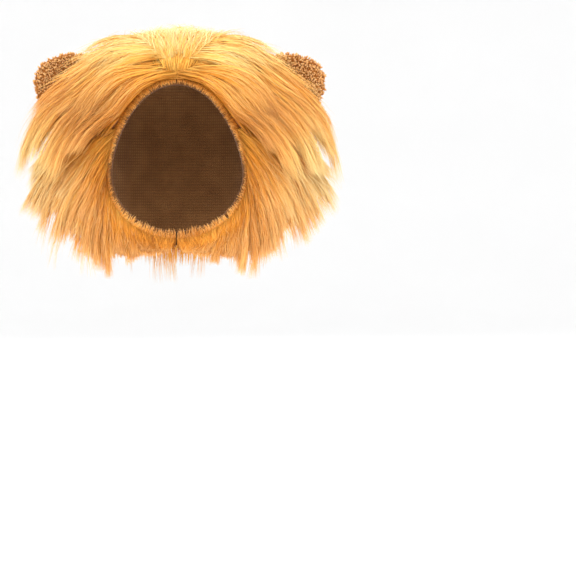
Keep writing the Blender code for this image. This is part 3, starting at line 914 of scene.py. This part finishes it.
def make_fur_pair(name, node, slot, point_at, strand_point, body, layers):
    """A tier of fur on the left and its mirror image on the right."""
    for word, side in SIDES:
        make_fur(name + word, node + word, slot, point_at, strand_point, side, body, layers)


def in_degrees(angle):
    """Angle of a setting in degrees, to a thousandth, so that a typed one is exact."""
    return round(math.degrees(angle), 3)


class WigFur(bpy.types.PropertyGroup):
    density: FloatProperty(name="Density", description="Share of the full number of strands",
                           default=0.97, min=0.05, subtype="FACTOR")
    strand_width: FloatProperty(name="Strand width", description="Width of a strand near its root",
                                default=0.00055, unit="LENGTH")
    seed: IntProperty(name="Seed", description="Start of the random choices", default=7)


class WigEars(bpy.types.PropertyGroup):
    turn: FloatProperty(name="Turn", description="Angle from straight up to the ear's seat",
                        default=math.radians(62), unit="ROTATION")
    width: FloatProperty(name="Width", description="Width of an ear", default=0.060, unit="LENGTH")
    height: FloatProperty(name="Height", description="Height of an ear over the cloth",
                          default=0.055, unit="LENGTH")
    thickness: FloatProperty(name="Thickness", description="Thickness of the padding",
                             default=0.011, unit="LENGTH")
    dish: FloatProperty(name="Dish", description="Depth of the hollow in front",
                        default=0.0052, unit="LENGTH")
    cup: FloatProperty(name="Cup", description="How far the rim leans to the front",
                       default=0.006, unit="LENGTH")
    pile: FloatProperty(name="Pile", description="Height of the curly pile", default=0.0024, unit="LENGTH")
    tufts: FloatProperty(name="Tufts", description="Tufts of pile on a square metre", default=560000.0)
    seed: IntProperty(name="Seed", description="Start of the random choices", default=3)


class WigColours(bpy.types.PropertyGroup):
    golden_fur: FloatVectorProperty(name="Golden fur", description="Middle tone of the upper tier and back",
                                    default=(0.93, 0.410, 0.048), min=0, max=1, subtype="COLOR")
    amber_fur: FloatVectorProperty(name="Amber fur", description="Middle tone of the lower tier",
                                   default=(0.90, 0.375, 0.042), min=0, max=1, subtype="COLOR")
    pale_fur: FloatVectorProperty(name="Pale fur", description="Middle tone of the brow locks and the tuft",
                                  default=(0.935, 0.430, 0.054), min=0, max=1, subtype="COLOR")
    ear_plush: FloatVectorProperty(name="Ear plush", description="Middle tone of the ears' pile",
                                   default=(0.68, 0.280, 0.052), min=0, max=1, subtype="COLOR")
    plush_cloth: FloatVectorProperty(name="Hood cloth", description="Light loops of the knitted hood",
                                     default=(0.32, 0.150, 0.050), min=0, max=1, subtype="COLOR")
    rolled_edge: FloatVectorProperty(name="Rolled edge", description="Light loops of the rolled edges",
                                     default=(0.27, 0.110, 0.030), min=0, max=1, subtype="COLOR")
    closing_tab: FloatVectorProperty(name="Closing tab", description="Light loops of the closing tab",
                                     default=(0.13, 0.07, 0.035), min=0, max=1, subtype="COLOR")


class WigStudio(bpy.types.PropertyGroup):
    photo_scale: FloatProperty(name="Pixel size", description="Size of the photograph's pixel at the wig",
                               default=0.00075, precision=5, unit="LENGTH")
    crown_column: FloatProperty(name="Crown column", description="Pixel column of the wig's middle",
                                default=177.0, subtype="PIXEL")
    crown_row: FloatProperty(name="Crown row", description="Pixel row of the crown's underside",
                             default=58.0, subtype="PIXEL")
    photo_pixels: IntProperty(name="Photo pixels", description="Width and height of the image",
                              default=576, subtype="PIXEL")
    face_forward: FloatProperty(name="Face forward", description="Plane of that scale, in front of the crown",
                                default=0.052, unit="LENGTH")
    distance: FloatProperty(name="Distance", description="Camera to wig", default=1.7, unit="LENGTH")
    elevation: FloatProperty(name="Elevation", description="Camera's angle over the level",
                             default=math.radians(2), unit="ROTATION")
    floor_drop: FloatProperty(name="Floor drop", description="Floor below the crown",
                              default=0.350, unit="LENGTH")
    key_power: FloatProperty(name="Key power", description="Power of the main light",
                             default=23.0, unit="POWER")


def make_hood_form(columns=160, rings=48):
    """Outside of the hood as a fine grid, with its centre seam and the soft folds that it has when worn."""
    form = bmesh.new()
    grid = []
    for column in range(columns + 1):
        turn = blend(-180, 180, column / columns)
        start = cloth_edge_back(turn)
        line = []
        for ring in range(rings):
            back = blend(start, 180, ring / rings)
            direction = aim(turn, back)
            fold = 0.0009 * noise.noise(direction * 3.2) * smooth(back, start, start + 25)
            seam = -0.0007 * math.exp(-(turn / 1.6) ** 2) * smooth(172 - back, 0, 12)
            fold *= smooth(178 - back, 0, 30)
            point = over_head(direction, fold + seam)
            if column in (0, columns):
                point.x = math.copysign(THROAT_SLIT / 2, turn) if point.y < 0 else 0
            line.append(form.verts.new(point))
        grid.append(line)
    bridge(form, grid)
    pole = form.verts.new(over_head(aim(0, 180), 0))
    for first, second in zip(grid, grid[1:]):
        form.faces.new((first[-1], second[-1], pole))
    bmesh.ops.remove_doubles(form, verts=form.verts, dist=1e-5)
    everything = form.verts[:] + form.edges[:] + form.faces[:]
    bmesh.ops.bisect_plane(form, geom=everything, dist=1e-6, plane_co=(0, 0, -HEM_DROP),
                           plane_no=(0, 0, -1), clear_outer=True)
    bmesh.ops.recalc_face_normals(form, faces=form.faces)
    outward = sum(face.normal.dot(face.calc_center_median() - HEAD_CENTRE) for face in form.faces)
    if outward < 0:
        bmesh.ops.reverse_faces(form, faces=form.faces)
    return form_mesh("hood outside", form)


class WIG_OT_hood(bpy.types.Operator):
    """Make the cloth hood"""

    bl_idname = "wig.hood"
    bl_label = "Hood"

    def execute(self, context):
        outside = link("cloth_hood outside", make_hood_form())
        wall = outside.modifiers.new("cloth wall", "SOLIDIFY")
        wall.thickness = CLOTH_WALL
        wall.offset = -1
        wall.use_even_offset = True
        mesh = finished_mesh(outside)
        bpy.data.objects.remove(outside, do_unlink=True)
        mesh.materials.append(material("plush_cloth"))
        mesh.shade_smooth()
        hood = link("cloth_hood", mesh)
        settle(hood, "hood_shell")
        return {"FINISHED"}


def neck_point(azimuth, drop, out):
    """Point at a drop below the crown and a distance out from the cloth, at an angle round the neck."""
    angle = math.radians(azimuth)
    heading = Vector((math.sin(angle), -math.cos(angle), 0))

    def on_cloth(dip):
        return over_head(heading * math.cos(dip) - Vector((0, 0, math.sin(dip))), 0)

    return on_cloth(last_inside(0.0, math.pi / 2, lambda dip: on_cloth(dip).z > -drop)) + heading * out


def rolled_edge(name, place, steps=260, sides=14, stitches=74):
    """Soft rolled edge: a closed bar whose section swells between its overcast stitches."""
    form = bmesh.new()
    rings = []
    for step in range(steps + 1):
        share = step / steps
        pinch = 1 - 0.10 * max(math.cos(math.tau * share * stitches), 0) ** 2
        ring = []
        for side in range(sides):
            angle = math.tau * side / sides
            across, out = 0.5 + 0.5 * math.cos(angle) * pinch, math.sin(angle) * pinch
            ring.append(form.verts.new(place(share, across, out)))
        rings.append(ring)
    bridge(form, rings, closed=True)
    form.faces.new(rings[0])
    form.faces.new(rings[-1])
    bmesh.ops.recalc_face_normals(form, faces=form.faces)
    mesh = form_mesh(name, form)
    mesh.materials.append(material("rolled_edge"))
    return link(name, mesh)


class WIG_OT_edges(bpy.types.Operator):
    """Make the rolled edges of the face opening and of the neck"""

    bl_idname = "wig.edges"
    bl_label = "Rolled edges"

    def execute(self, context):
        def face_place(share, across, out):
            turn = blend(-180, 180, share)
            edge = edge_back(turn)
            back = edge + angle_for(BINDING_WIDTH * across, aim(turn, edge))
            point = over_head(aim(turn, back), out * BINDING_HALF_THICKNESS - CLOTH_WALL / 2)
            if share in (0, 1):
                point.x = math.copysign(THROAT_SLIT / 2, turn)
            return point

        def neck_place(share, across, out):
            azimuth = blend(0, 360, share)
            drop = HEM_DROP - BINDING_OVERLAP + (BINDING_WIDTH + HEM_SLACK) * across
            point = neck_point(azimuth, drop, out * BINDING_HALF_THICKNESS - CLOTH_WALL / 2)
            if share in (0, 1):
                point.x = THROAT_SLIT / 2 if share == 0 else -THROAT_SLIT / 2
            return point

        for name, place in (("face_binding", face_place), ("neck_binding", neck_place)):
            edge = rolled_edge("rolled_" + name, place)
            settle(edge, name)
        return {"FINISHED"}


class WIG_OT_tab(bpy.types.Operator):
    """Make the closing tab behind the throat slit"""

    bl_idname = "wig.tab"
    bl_label = "Chin tab"

    def execute(self, context):
        low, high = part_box("chin_tab")
        form = bmesh.new()
        bmesh.ops.create_grid(form, x_segments=28, y_segments=14, size=0.5)
        front, back = low[1], high[1]
        half = (high[0] - low[0]) / 2
        bend = (back - front) - TAPE_THICKNESS - TAPE_GAP
        for vert in form.verts:
            across, up = vert.co.x * 2, vert.co.y * 2
            corner = (abs(across) ** 6 + abs(up) ** 6) ** (1 / 6)
            shrink = 1 if corner < 0.9 else 1 - (corner - 0.9) * 0.5
            vert.co = Vector((across * half * shrink * 0.97, front + TAPE_GAP + bend * across * across,
                              (low[2] + high[2]) / 2 + up * (high[2] - low[2]) / 2 * shrink * 0.97))
        bmesh.ops.recalc_face_normals(form, faces=form.faces)
        flat = link("closing tab flat", form_mesh("closing tab", form))
        wall = flat.modifiers.new("tape", "SOLIDIFY")
        wall.thickness = TAPE_THICKNESS
        wall.offset = 0
        bevel = flat.modifiers.new("soft edge", "BEVEL")
        bevel.width = 0.0003
        bevel.segments = 2
        solid = finished_mesh(flat)
        bpy.data.objects.remove(flat, do_unlink=True)
        solid.materials.append(material("closing_tab"))
        solid.shade_smooth()
        tab = link("closing_tab", solid)
        settle(tab, "chin_tab")
        return {"FINISHED"}


def ear_form(side, levels=26, around=60):
    """Padded ear: dished in front, with its rim rolled forward and soft lumps in the padding."""
    ears = bpy.context.scene.wig_ears
    seat = aim(in_degrees(ears.turn) * side, 90)
    foot = over_head(seat, 0)
    across_way = Vector((seat.z, 0, -seat.x)) * side
    form = bmesh.new()
    bake_map = form.loops.layers.uv.new("OFBake")

    def ring_at(rise, shrink=1.0):
        half_width = ears.width / 2 * max(1 - rise ** 2.8, 0) ** 0.5
        half_width *= 0.88 + 0.12 * math.sin(math.pi * rise)
        half_thick = ears.thickness / 2 * math.sqrt(max(1 - rise ** 3, 0.02)) - ears.pile * 0.4
        ring = []
        for index in range(around):
            angle = math.tau * index / around
            across = (half_width - ears.pile * 0.4) * math.cos(angle)
            deep = half_thick * math.copysign(abs(math.sin(angle)) ** 0.8, math.sin(angle))
            middle = max(1 - (across / max(half_width, 1e-5)) ** 2, 0)
            if deep < 0:
                deep += ears.dish * middle ** 1.5 * math.sin(math.pi * min(rise + 0.12, 1))
            deep -= ears.cup * (1 - middle) * rise
            deep += 0.0008 * noise.noise(Vector((across * 90, rise * 4, side * 3)))
            point = foot + across_way * across * shrink + Vector((0, deep * shrink, 0))
            point += seat * (ears.height - ears.pile * 0.5) * rise
            if rise == 0:
                point = over_head((point - HEAD_CENTRE).normalized(), FUR_GAP)
            ring.append(form.verts.new(point))
        return ring

    rings = [ring_at(0, shrink) for shrink in (0.3, 0.65)]
    rings += [ring_at(math.sin(math.pi / 2 * level / levels)) for level in range(levels)]
    bridge(form, rings, closed=True)
    ends = ((rings[0], over_head(seat, FUR_GAP)),
            (rings[-1], foot + seat * (ears.height - ears.pile * 0.5) + Vector((0, -ears.cup * 0.2, 0))))
    for ring, point in ends:
        middle = form.verts.new(point)
        for index in range(around):
            form.faces.new((ring[index], ring[(index + 1) % around], middle))
    bmesh.ops.recalc_face_normals(form, faces=form.faces)
    # The body under the pile takes a colour low on the ramp, between the painted shade of the tufts' roots
    # and their middle tone.
    for face in form.faces:
        for number, loop in enumerate(face.loops):
            loop[bake_map].uv = (0.25 + 0.004 * (number % 2), 0.22 + 0.01 * (number // 2))
    mesh = form_mesh("ear body", form)
    # Painted shade in the dish: this attribute darkens the pile in the ear's front hollow.
    hollow = mesh.attributes.new("hollow", "FLOAT", "POINT")
    for index, vert in enumerate(mesh.vertices):
        inward = vert.co - foot - seat * ears.height * 0.42
        reach = Vector((inward.dot(across_way) / ears.width, inward.dot(seat) / ears.height)).length
        hollow.data[index].value = smooth(0.42 - reach, 0, 0.3) if vert.normal.y < -0.3 else 0
    return mesh


def tuft_template(sides=3):
    """One curl of plush pile: a short bent cone."""
    mesh = bpy.data.meshes.new("pile tuft")
    levels = ((0.0, 0.30, 0.0), (0.5, 0.44, 0.06), (0.85, 0.26, 0.20))
    points = []
    for rise, radius, bend in levels:
        for side in range(sides):
            angle = math.tau * side / sides
            points.append((math.cos(angle) * radius + bend, math.sin(angle) * radius, rise))
    points.append((0.34, 0.0, 1.0))
    faces = []
    for level in range(len(levels) - 1):
        for side in range(sides):
            after = (side + 1) % sides
            low = level * sides
            faces.append((low + side, low + after, low + sides + after, low + sides + side))
    top = (len(levels) - 1) * sides
    for side in range(sides):
        faces.append((top + side, top + (side + 1) % sides, len(points) - 1))
    mesh.from_pydata(points, [], faces)
    rise = mesh.attributes.new("rise", "FLOAT", "POINT")
    for index, point in enumerate(points):
        rise.data[index].value = point[2]
    mesh.shade_smooth()
    return link("pile tuft", mesh)


PILE_INPUTS = [
    ("Density", "NodeSocketFloat"),
    ("Seed", "NodeSocketInt"),
    ("Height", "NodeSocketFloat"),
    ("Lean", "NodeSocketFloat"),
    ("Tuft", "NodeSocketObject"),
    ("Material", "NodeSocketMaterial"),
]


def pile_tree():
    """Node tree that covers a surface in short curly tufts."""
    found = bpy.data.node_groups.get("plush pile")
    if found:
        return found
    tree, given = new_tree("plush pile", PILE_INPUTS)
    body = given["Geometry"]
    tuft = body.node("GeometryNodeObjectInfo", inputs={"Object": given["Tuft"]}, output="Geometry")
    points = body.node("GeometryNodeDistributePointsOnFaces",
                       inputs={"Mesh": body, "Density": given["Density"], "Seed": given["Seed"]})
    upright = Wire(tree, points.socket.node.outputs["Normal"])
    index = body.node("GeometryNodeInputIndex")

    def chance(step, low, high):
        return body.node("FunctionNodeRandomValue", {"data_type": "FLOAT"},
                         {2: low, 3: high, "ID": index, "Seed": given["Seed"] + step}, output=1)

    def attribute(name):
        return body.node("GeometryNodeInputNamedAttribute", {"data_type": "FLOAT"}, {"Name": name})

    lean = body.node("ShaderNodeCombineXYZ", inputs={
        "X": chance(1, -1.0, 1.0), "Y": chance(2, -1.0, 1.0), "Z": chance(3, -1.0, 1.0)})
    tilted = upright.vector("ADD", lean.scaled(given["Lean"]))
    turned = body.node("FunctionNodeAlignRotationToVector", {"axis": "Z"}, {"Vector": tilted})
    spin = body.node("FunctionNodeAxisAngleToRotation",
                     inputs={"Axis": (0, 0, 1), "Angle": chance(4, 0.0, math.tau)})
    spun = body.node("FunctionNodeRotateRotation", {"rotation_space": "LOCAL"}, {0: turned, 1: spin})
    size = given["Height"] * chance(5, 0.7, 1.25)
    scale = body.node("ShaderNodeCombineXYZ", inputs={"X": size * 0.85, "Y": size * 0.85, "Z": size})
    copies = points.node("GeometryNodeInstanceOnPoints", inputs={
        "Points": points, "Instance": tuft, "Rotation": spun, "Scale": scale})
    shade = copies.node("GeometryNodeStoreNamedAttribute", {"data_type": "FLOAT", "domain": "INSTANCE"},
                        {"Geometry": copies, "Name": "shade", "Value": chance(6, 0.0, 1.0)})
    real = shade.node("GeometryNodeRealizeInstances", inputs={"Geometry": shade})
    rise = attribute("rise")
    # The hollow attribute lowers the rise, darkening the pile in the ear's dish: painted shade.
    bake_map = body.node("ShaderNodeCombineXYZ", inputs={
        "X": attribute("shade") * 0.9 + 0.05 + rise * 0.01,
        "Y": rise * (0.9 - attribute("hollow") * 0.45) + 0.08})
    mapped = real.node("GeometryNodeStoreNamedAttribute", {"data_type": "FLOAT2", "domain": "CORNER"},
                       {"Geometry": real, "Name": "OFBake", "Value": bake_map})
    for name in ("rise", "shade", "hollow"):
        mapped = mapped.node("GeometryNodeRemoveAttribute", inputs={"Geometry": mapped, "Name": name})
    joined = body.node("GeometryNodeJoinGeometry")
    tree.links.new(body.socket, joined.socket.node.inputs[0])
    tree.links.new(mapped.socket, joined.socket.node.inputs[0])
    return end_tree(tree, joined.node("GeometryNodeSetMaterial",
                                      inputs={"Geometry": joined, "Material": given["Material"]}))


class WIG_OT_ears(bpy.types.Operator):
    """Make the two plush ears"""

    bl_idname = "wig.ears"
    bl_label = "Ears"

    def execute(self, context):
        ears = context.scene.wig_ears
        tuft = tuft_template()
        for word, side in SIDES:
            body = link("ear body " + word, ear_form(side))
            values = {"Density": ears.tufts, "Seed": ears.seed + side, "Height": ears.pile, "Lean": 0.55,
                      "Tuft": tuft, "Material": material("ear_plush")}
            ear = link("plush_ear_" + word, run_tree(body, pile_tree(), values))
            settle(ear, "ear_" + word)
        bpy.data.objects.remove(tuft, do_unlink=True)
        return {"FINISHED"}


UPPER_LAYERS = [
    {"Strands": 7900, "Locks": 26, "layer": 0.45, "reach": 1.06, "Root To": 0.68, "Shortest": 0.22,
     "Longest": 0.42, "Tip Lift": 0.007, "Relief": 0.002, "Clump": 0.55, "Fray": 0.06, "Wave": 0.09,
     "Droop": 0.001, "Tip Cut": 0.14},
    {"Strands": 6400, "Locks": 15, "layer": 0.62, "reach": 1.2, "Root To": 0.5, "Shortest": 0.34,
     "Longest": 0.74, "Root Lift": 0.001, "Tip Lift": 0.009, "Relief": 0.003, "Clump": 0.85, "Fray": 0.08,
     "Wave": 0.12, "Droop": 0.003, "Tone Spread": 0.3, "Tip Cut": 0.34},
    {"Strands": 1500, "Locks": 20, "layer": 0.85, "reach": 1.1, "Along From": 0.02, "Along To": 0.34,
     "Root From": 0.01, "Root To": 0.25, "Shortest": 0.45, "Longest": 0.85, "Tip Lift": 0.005,
     "Clump": 0.95, "Fray": 0.05, "Wave": 0.1, "Tone": 0.1, "Tone Spread": 0.24, "Tip Cut": 0.3},
    {"Strands": 1200, "Locks": 24, "layer": 1.0, "Along From": 0.3, "Along To": 0.98, "Root To": 0.18,
     "Shortest": 0.18, "Longest": 0.44, "Root Lift": 0.004, "Tip Lift": 0.003, "Clump": 0.5, "Fray": 0.14,
     "Wave": 0.14, "Tone": 0.05},
    {"guide": brow_fringe_point, "Strands": 900, "Locks": 44, "layer": 0.6, "Root To": 0.3,
     "Shortest": 0.35, "Longest": 0.7, "Tip Lift": 0.001, "Relief": 0.0, "Clump": 0.5, "Fray": 0.05,
     "Wave": 0.03, "Tone": -0.22, "Tone Spread": 0.3},
    {"Strands": 500, "Locks": 22, "layer": 0.7, "reach": 1.15, "Along From": 0.45, "Along To": 0.95,
     "Root From": 0.05, "Root To": 0.5, "Shortest": 0.25, "Longest": 0.5, "Tip Lift": 0.014,
     "Relief": 0.002, "Clump": 0.6, "Fray": 0.18, "Wave": 0.16, "Tone": 0.06, "Tone Spread": 0.3},
]


class WIG_OT_upper(bpy.types.Operator):
    """Comb the upper tier over the temples"""

    bl_idname = "wig.upper"
    bl_label = "Upper mane"

    def execute(self, context):
        make_fur_pair("upper_fur_", "upper_mane_", "golden_fur", upper_point, upper_strand_point,
                      body=0.66, layers=UPPER_LAYERS)
        return {"FINISHED"}


LOWER_LAYERS = [
    {"Strands": 9000, "Locks": 34, "layer": 0.4, "reach": 1.05, "Root To": 0.66, "Shortest": 0.22,
     "Longest": 0.5, "Tip Lift": 0.006, "Relief": 0.002, "Clump": 0.6, "Fray": 0.04, "Wave": 0.05,
     "Droop": 0.002, "Tip Cut": 0.16},
    {"Strands": 6800, "Locks": 17, "layer": 0.62, "reach": 1.1, "Root To": 0.5, "Shortest": 0.34,
     "Longest": 0.8, "Tip Lift": 0.007, "Relief": 0.003, "Clump": 0.85, "Fray": 0.05, "Wave": 0.07,
     "Droop": 0.003, "Tone Spread": 0.3, "Tip Cut": 0.34},
    {"guide": cheek_fringe_point, "Strands": 1500, "Locks": 60, "layer": 0.6, "Root To": 0.3,
     "Shortest": 0.35, "Longest": 0.7, "Tip Lift": 0.001, "Relief": 0.0, "Clump": 0.5, "Fray": 0.04,
     "Wave": 0.03, "Tone": -0.06},
    {"Strands": 900, "Locks": 24, "layer": 0.7, "reach": 1.16, "Along To": 0.62, "Root From": 0.1,
     "Root To": 0.6, "Shortest": 0.3, "Longest": 0.6, "Tip Lift": 0.008, "Relief": 0.002, "Clump": 0.8,
     "Fray": 0.1, "Wave": 0.12, "Droop": 0.002, "Tone": 0.12, "Tone Spread": 0.3, "Tip Cut": 0.25},
]


class WIG_OT_lower(bpy.types.Operator):
    """Comb the lower tier from the cheeks to the sides and the chest"""

    bl_idname = "wig.lower"
    bl_label = "Lower mane"

    def execute(self, context):
        make_fur_pair("lower_fur_", "lower_mane_", "amber_fur", lower_point, lower_strand_point,
                      body=0.60, layers=LOWER_LAYERS)
        return {"FINISHED"}


BROW_LAYERS = [
    {"Strands": 2400, "Locks": 5, "layer": 0.5, "reach": 1.1, "Root To": 0.45, "Shortest": 0.35,
     "Longest": 0.85, "Root Lift": -0.001, "Tip Lift": 0.005, "Clump": 0.85, "Fray": 0.35, "Wave": 0.35,
     "Droop": 0.001, "Tone": -0.06, "Tone Spread": 0.4, "Tip Cut": 0.3},
]


class WIG_OT_brow(bpy.types.Operator):
    """Comb the pale bundles along the brow"""

    bl_idname = "wig.brow"
    bl_label = "Brow locks"

    def execute(self, context):
        make_fur_pair("brow_fur_", "brow_locks_", "pale_fur", brow_point, brow_point,
                      body=0.6, layers=BROW_LAYERS)
        return {"FINISHED"}


TUFT_LAYERS = [
    {"Strands": 4300, "Locks": 23, "layer": 0.5, "reach": 1.06, "Along From": 0.18, "Along To": 0.82,
     "Root To": 0.7, "Shortest": 0.2, "Longest": 0.44, "Tip Lift": 0.005, "Clump": 0.45, "Fray": 0.36,
     "Wave": 0.12, "Tone": -0.03},
    {"Strands": 2700, "Locks": 19, "layer": 0.55, "reach": 1.06, "Along From": 0.02, "Along To": 0.98,
     "Root From": 0.04, "Root To": 0.6, "Shortest": 0.26, "Longest": 0.5, "Tip Lift": 0.003, "Clump": 0.5,
     "Fray": 0.4, "Wave": 0.2, "Tone": -0.05, "Tone Spread": 0.3},
    {"Strands": 1200, "Locks": 15, "layer": 0.8, "reach": 1.12, "Along From": 0.08, "Along To": 0.92,
     "Root From": 0.1, "Root To": 0.65, "Shortest": 0.25, "Longest": 0.45, "Tip Lift": 0.007, "Clump": 0.7,
     "Fray": 0.3, "Wave": 0.2, "Tone": 0.06, "Tone Spread": 0.3},
]


class WIG_OT_tuft(bpy.types.Operator):
    """Comb the tuft over the crown"""

    bl_idname = "wig.tuft"
    bl_label = "Crown tuft"

    def execute(self, context):
        make_fur("crown_fur", "crown_tuft", "pale_fur", tuft_core_point, tuft_strand_point, side=1,
                 body=0.7, layers=TUFT_LAYERS)
        return {"FINISHED"}


BACK_LAYERS = [
    {"Strands": 11000, "Locks": 56, "layer": 0.5, "Root To": 0.84, "Shortest": 0.16, "Longest": 0.34,
     "Tip Lift": 0.008, "Relief": 0.002, "Clump": 0.5, "Fray": 0.03, "Wave": 0.04, "Droop": 0.001,
     "Tip Cut": 0.04},
    {"Strands": 8000, "Locks": 27, "layer": 0.72, "reach": 1.03, "Root To": 0.7, "Shortest": 0.24,
     "Longest": 0.5, "Tip Lift": 0.01, "Relief": 0.003, "Clump": 0.8, "Fray": 0.04, "Wave": 0.06,
     "Droop": 0.002, "Tone Spread": 0.3, "Tip Cut": 0.12},
    {"Strands": 2400, "Locks": 56, "layer": 0.35, "Root From": 0.7, "Root To": 0.9, "Shortest": 0.08,
     "Longest": 0.16, "Tip Lift": 0.004, "Clump": 0.4, "Fray": 0.02, "Wave": 0.03, "Tip Cut": 0.06},
    {"guide": nap_point, "Strands": 1600, "Locks": 22, "layer": 0.75, "Root To": 0.6, "Shortest": 0.3,
     "Longest": 0.5, "Root Lift": -0.004, "Tip Lift": 0.004, "Clump": 0.5, "Fray": 0.06, "Wave": 0.08,
     "Tone": 0.04, "Tip Cut": 0.1},
    {"guide": skirt_point, "Strands": 3000, "Locks": 60, "layer": 0.8, "Root To": 0.7, "Shortest": 0.2,
     "Longest": 0.45, "Tip Lift": 0.004, "Clump": 0.5, "Fray": 0.03, "Wave": 0.03, "Tone": -0.16,
     "Tip Cut": 0.1},
]


class WIG_OT_back(bpy.types.Operator):
    """Comb the fur that falls down the back"""

    bl_idname = "wig.back"
    bl_label = "Back mane"

    def execute(self, context):
        make_fur("back_fur", "back_mane", "golden_fur", back_point, back_strand_point, side=1,
                 body=0.93, layers=BACK_LAYERS, full=0.99)
        return {"FINISHED"}


FLOOR_RADII = (0.3, 0.8, 1.4, 2.0, 2.6)
FLOOR_BEND = 1.4
FLOOR_BEND_STEPS = 12
FLOOR_WALL_TOP = 3.4
FLOOR_SIDES = 96

LIGHT_TARGET = Vector((0, 0, -0.07))

# Power is a share of the key light's
LIGHTS = [
    {"name": "key light", "place": (-0.9, -1.5, 1.3), "size": 1.2, "power": 1.0},
    {"name": "fill light", "place": (1.5, -1.2, 0.5), "size": 1.4, "power": 0.55},
    {"name": "top light", "place": (0.1, 0.5, 1.9), "size": 1.0, "power": 0.6},
    {"name": "back light", "place": (-0.4, 1.7, 0.9), "size": 1.2, "power": 0.5},
]
AIR_BRIGHTNESS = 0.97


def place_facing(name, data, place, target):
    """Lamp or camera at a place, turned to a target."""
    made = link(name, data)
    made.location = place
    made.rotation_euler = (target - Vector(place)).to_track_quat("-Z", "Y").to_euler()
    return made


def floor_mesh(drop):
    """Round floor that bends up into a wall all round."""
    form = bmesh.new()
    profile = [(radius, 0.0) for radius in FLOOR_RADII]
    edge = FLOOR_RADII[-1]
    for step in range(1, FLOOR_BEND_STEPS + 1):
        angle = step / FLOOR_BEND_STEPS * math.pi / 2
        profile.append((edge + FLOOR_BEND * math.sin(angle), FLOOR_BEND - FLOOR_BEND * math.cos(angle)))
    profile.append((edge + FLOOR_BEND, FLOOR_WALL_TOP))
    middle = form.verts.new((0, 0, -drop))
    angles = [math.tau * turn / FLOOR_SIDES for turn in range(FLOOR_SIDES)]
    rings = []
    for radius, height in profile:
        rings.append([form.verts.new((radius * math.cos(angle), radius * math.sin(angle), height - drop))
                      for angle in angles])
    for turn in range(FLOOR_SIDES):
        form.faces.new((middle, rings[0][turn], rings[0][(turn + 1) % FLOOR_SIDES]))
    bridge(form, rings, closed=True)
    return form_mesh("pale floor", form)


class WIG_OT_studio(bpy.types.Operator):
    """Make the floor, the lights and the camera"""

    bl_idname = "wig.studio"
    bl_label = "Studio"

    def execute(self, context):
        studio = context.scene.wig_studio
        mesh = floor_mesh(studio.floor_drop)
        paint, start, shader = new_material("look_pale_floor", roughness=0.9, specular=0.1)
        place = start.node("ShaderNodeTexCoord", output="Object")
        grain = place.node("ShaderNodeTexNoise",
                           inputs={"Vector": place, "Scale": 3.0, "Detail": 2.0}, output="Fac")
        plug(grain.ramp([(0.0, (0.90, 0.90, 0.90)), (1.0, (0.93, 0.93, 0.93))]), shader, "Base Color")
        mesh.materials.append(paint)
        floor = link("pale_floor", mesh)

        half = studio.photo_pixels / 2
        target = Vector(((half - studio.crown_column) * studio.photo_scale, -studio.face_forward,
                         (studio.crown_row - half) * studio.photo_scale))
        tilt = math.radians(in_degrees(studio.elevation))
        place = target + Vector((0, -math.cos(tilt), math.sin(tilt))) * studio.distance
        view = bpy.data.cameras.new("camera")
        view.lens = view.sensor_width * studio.distance / (studio.photo_pixels * studio.photo_scale)
        view.clip_end = 20
        context.scene.camera = place_facing("camera", view, place, target)

        for row in LIGHTS:
            light = bpy.data.lights.new(row["name"], "AREA")
            light.shape = "DISK"
            light.size = row["size"]
            light.energy = studio.key_power * row["power"]
            place_facing(row["name"], light, row["place"], LIGHT_TARGET)
        world = bpy.data.worlds.new("studio air")
        context.scene.world = world
        world.use_nodes = True
        background = world.node_tree.nodes["Background"]
        background.inputs["Color"].default_value = (1, 1, 1, 1)
        background.inputs["Strength"].default_value = AIR_BRIGHTNESS
        context.scene.view_settings.view_transform = "Standard"
        context.scene.view_settings.look = "None"
        return {"FINISHED"}


STEPS = ("hood", "edges", "tab", "ears", "upper", "lower", "brow", "tuft", "back", "studio")


class WIG_PT_panel(bpy.types.Panel):
    """The wig's pieces, in the order of making"""

    bl_idname = "WIG_PT_panel"
    bl_label = "Lion Mane Wig"
    bl_space_type = "VIEW_3D"
    bl_region_type = "UI"
    bl_category = "Wig"

    def draw(self, context):
        layout = self.layout
        scene = context.scene
        for group in (scene.wig_fur, scene.wig_ears, scene.wig_colours, scene.wig_studio):
            box = layout.box()
            for name in group.bl_rna.properties.keys():
                if name not in ("rna_type", "name"):
                    box.prop(group, name)
        for step in STEPS:
            layout.operator("wig." + step)


CLASSES = (WigFur, WigEars, WigColours, WigStudio, WIG_OT_hood, WIG_OT_edges, WIG_OT_tab, WIG_OT_ears,
           WIG_OT_upper, WIG_OT_lower, WIG_OT_brow, WIG_OT_tuft, WIG_OT_back, WIG_OT_studio, WIG_PT_panel)


def register():
    for item in CLASSES:
        bpy.utils.register_class(item)
    bpy.types.Scene.wig_fur = PointerProperty(type=WigFur)
    bpy.types.Scene.wig_ears = PointerProperty(type=WigEars)
    bpy.types.Scene.wig_colours = PointerProperty(type=WigColours)
    bpy.types.Scene.wig_studio = PointerProperty(type=WigStudio)


def unregister():
    del bpy.types.Scene.wig_fur
    del bpy.types.Scene.wig_ears
    del bpy.types.Scene.wig_colours
    del bpy.types.Scene.wig_studio
    for item in reversed(CLASSES):
        bpy.utils.unregister_class(item)


def main():
    register()
    for step in STEPS:
        getattr(bpy.ops.wig, step)()
    blade = bpy.data.objects.get("strand blade")
    if blade:
        bpy.data.objects.remove(blade, do_unlink=True)


if __name__ == "__main__":
    main()
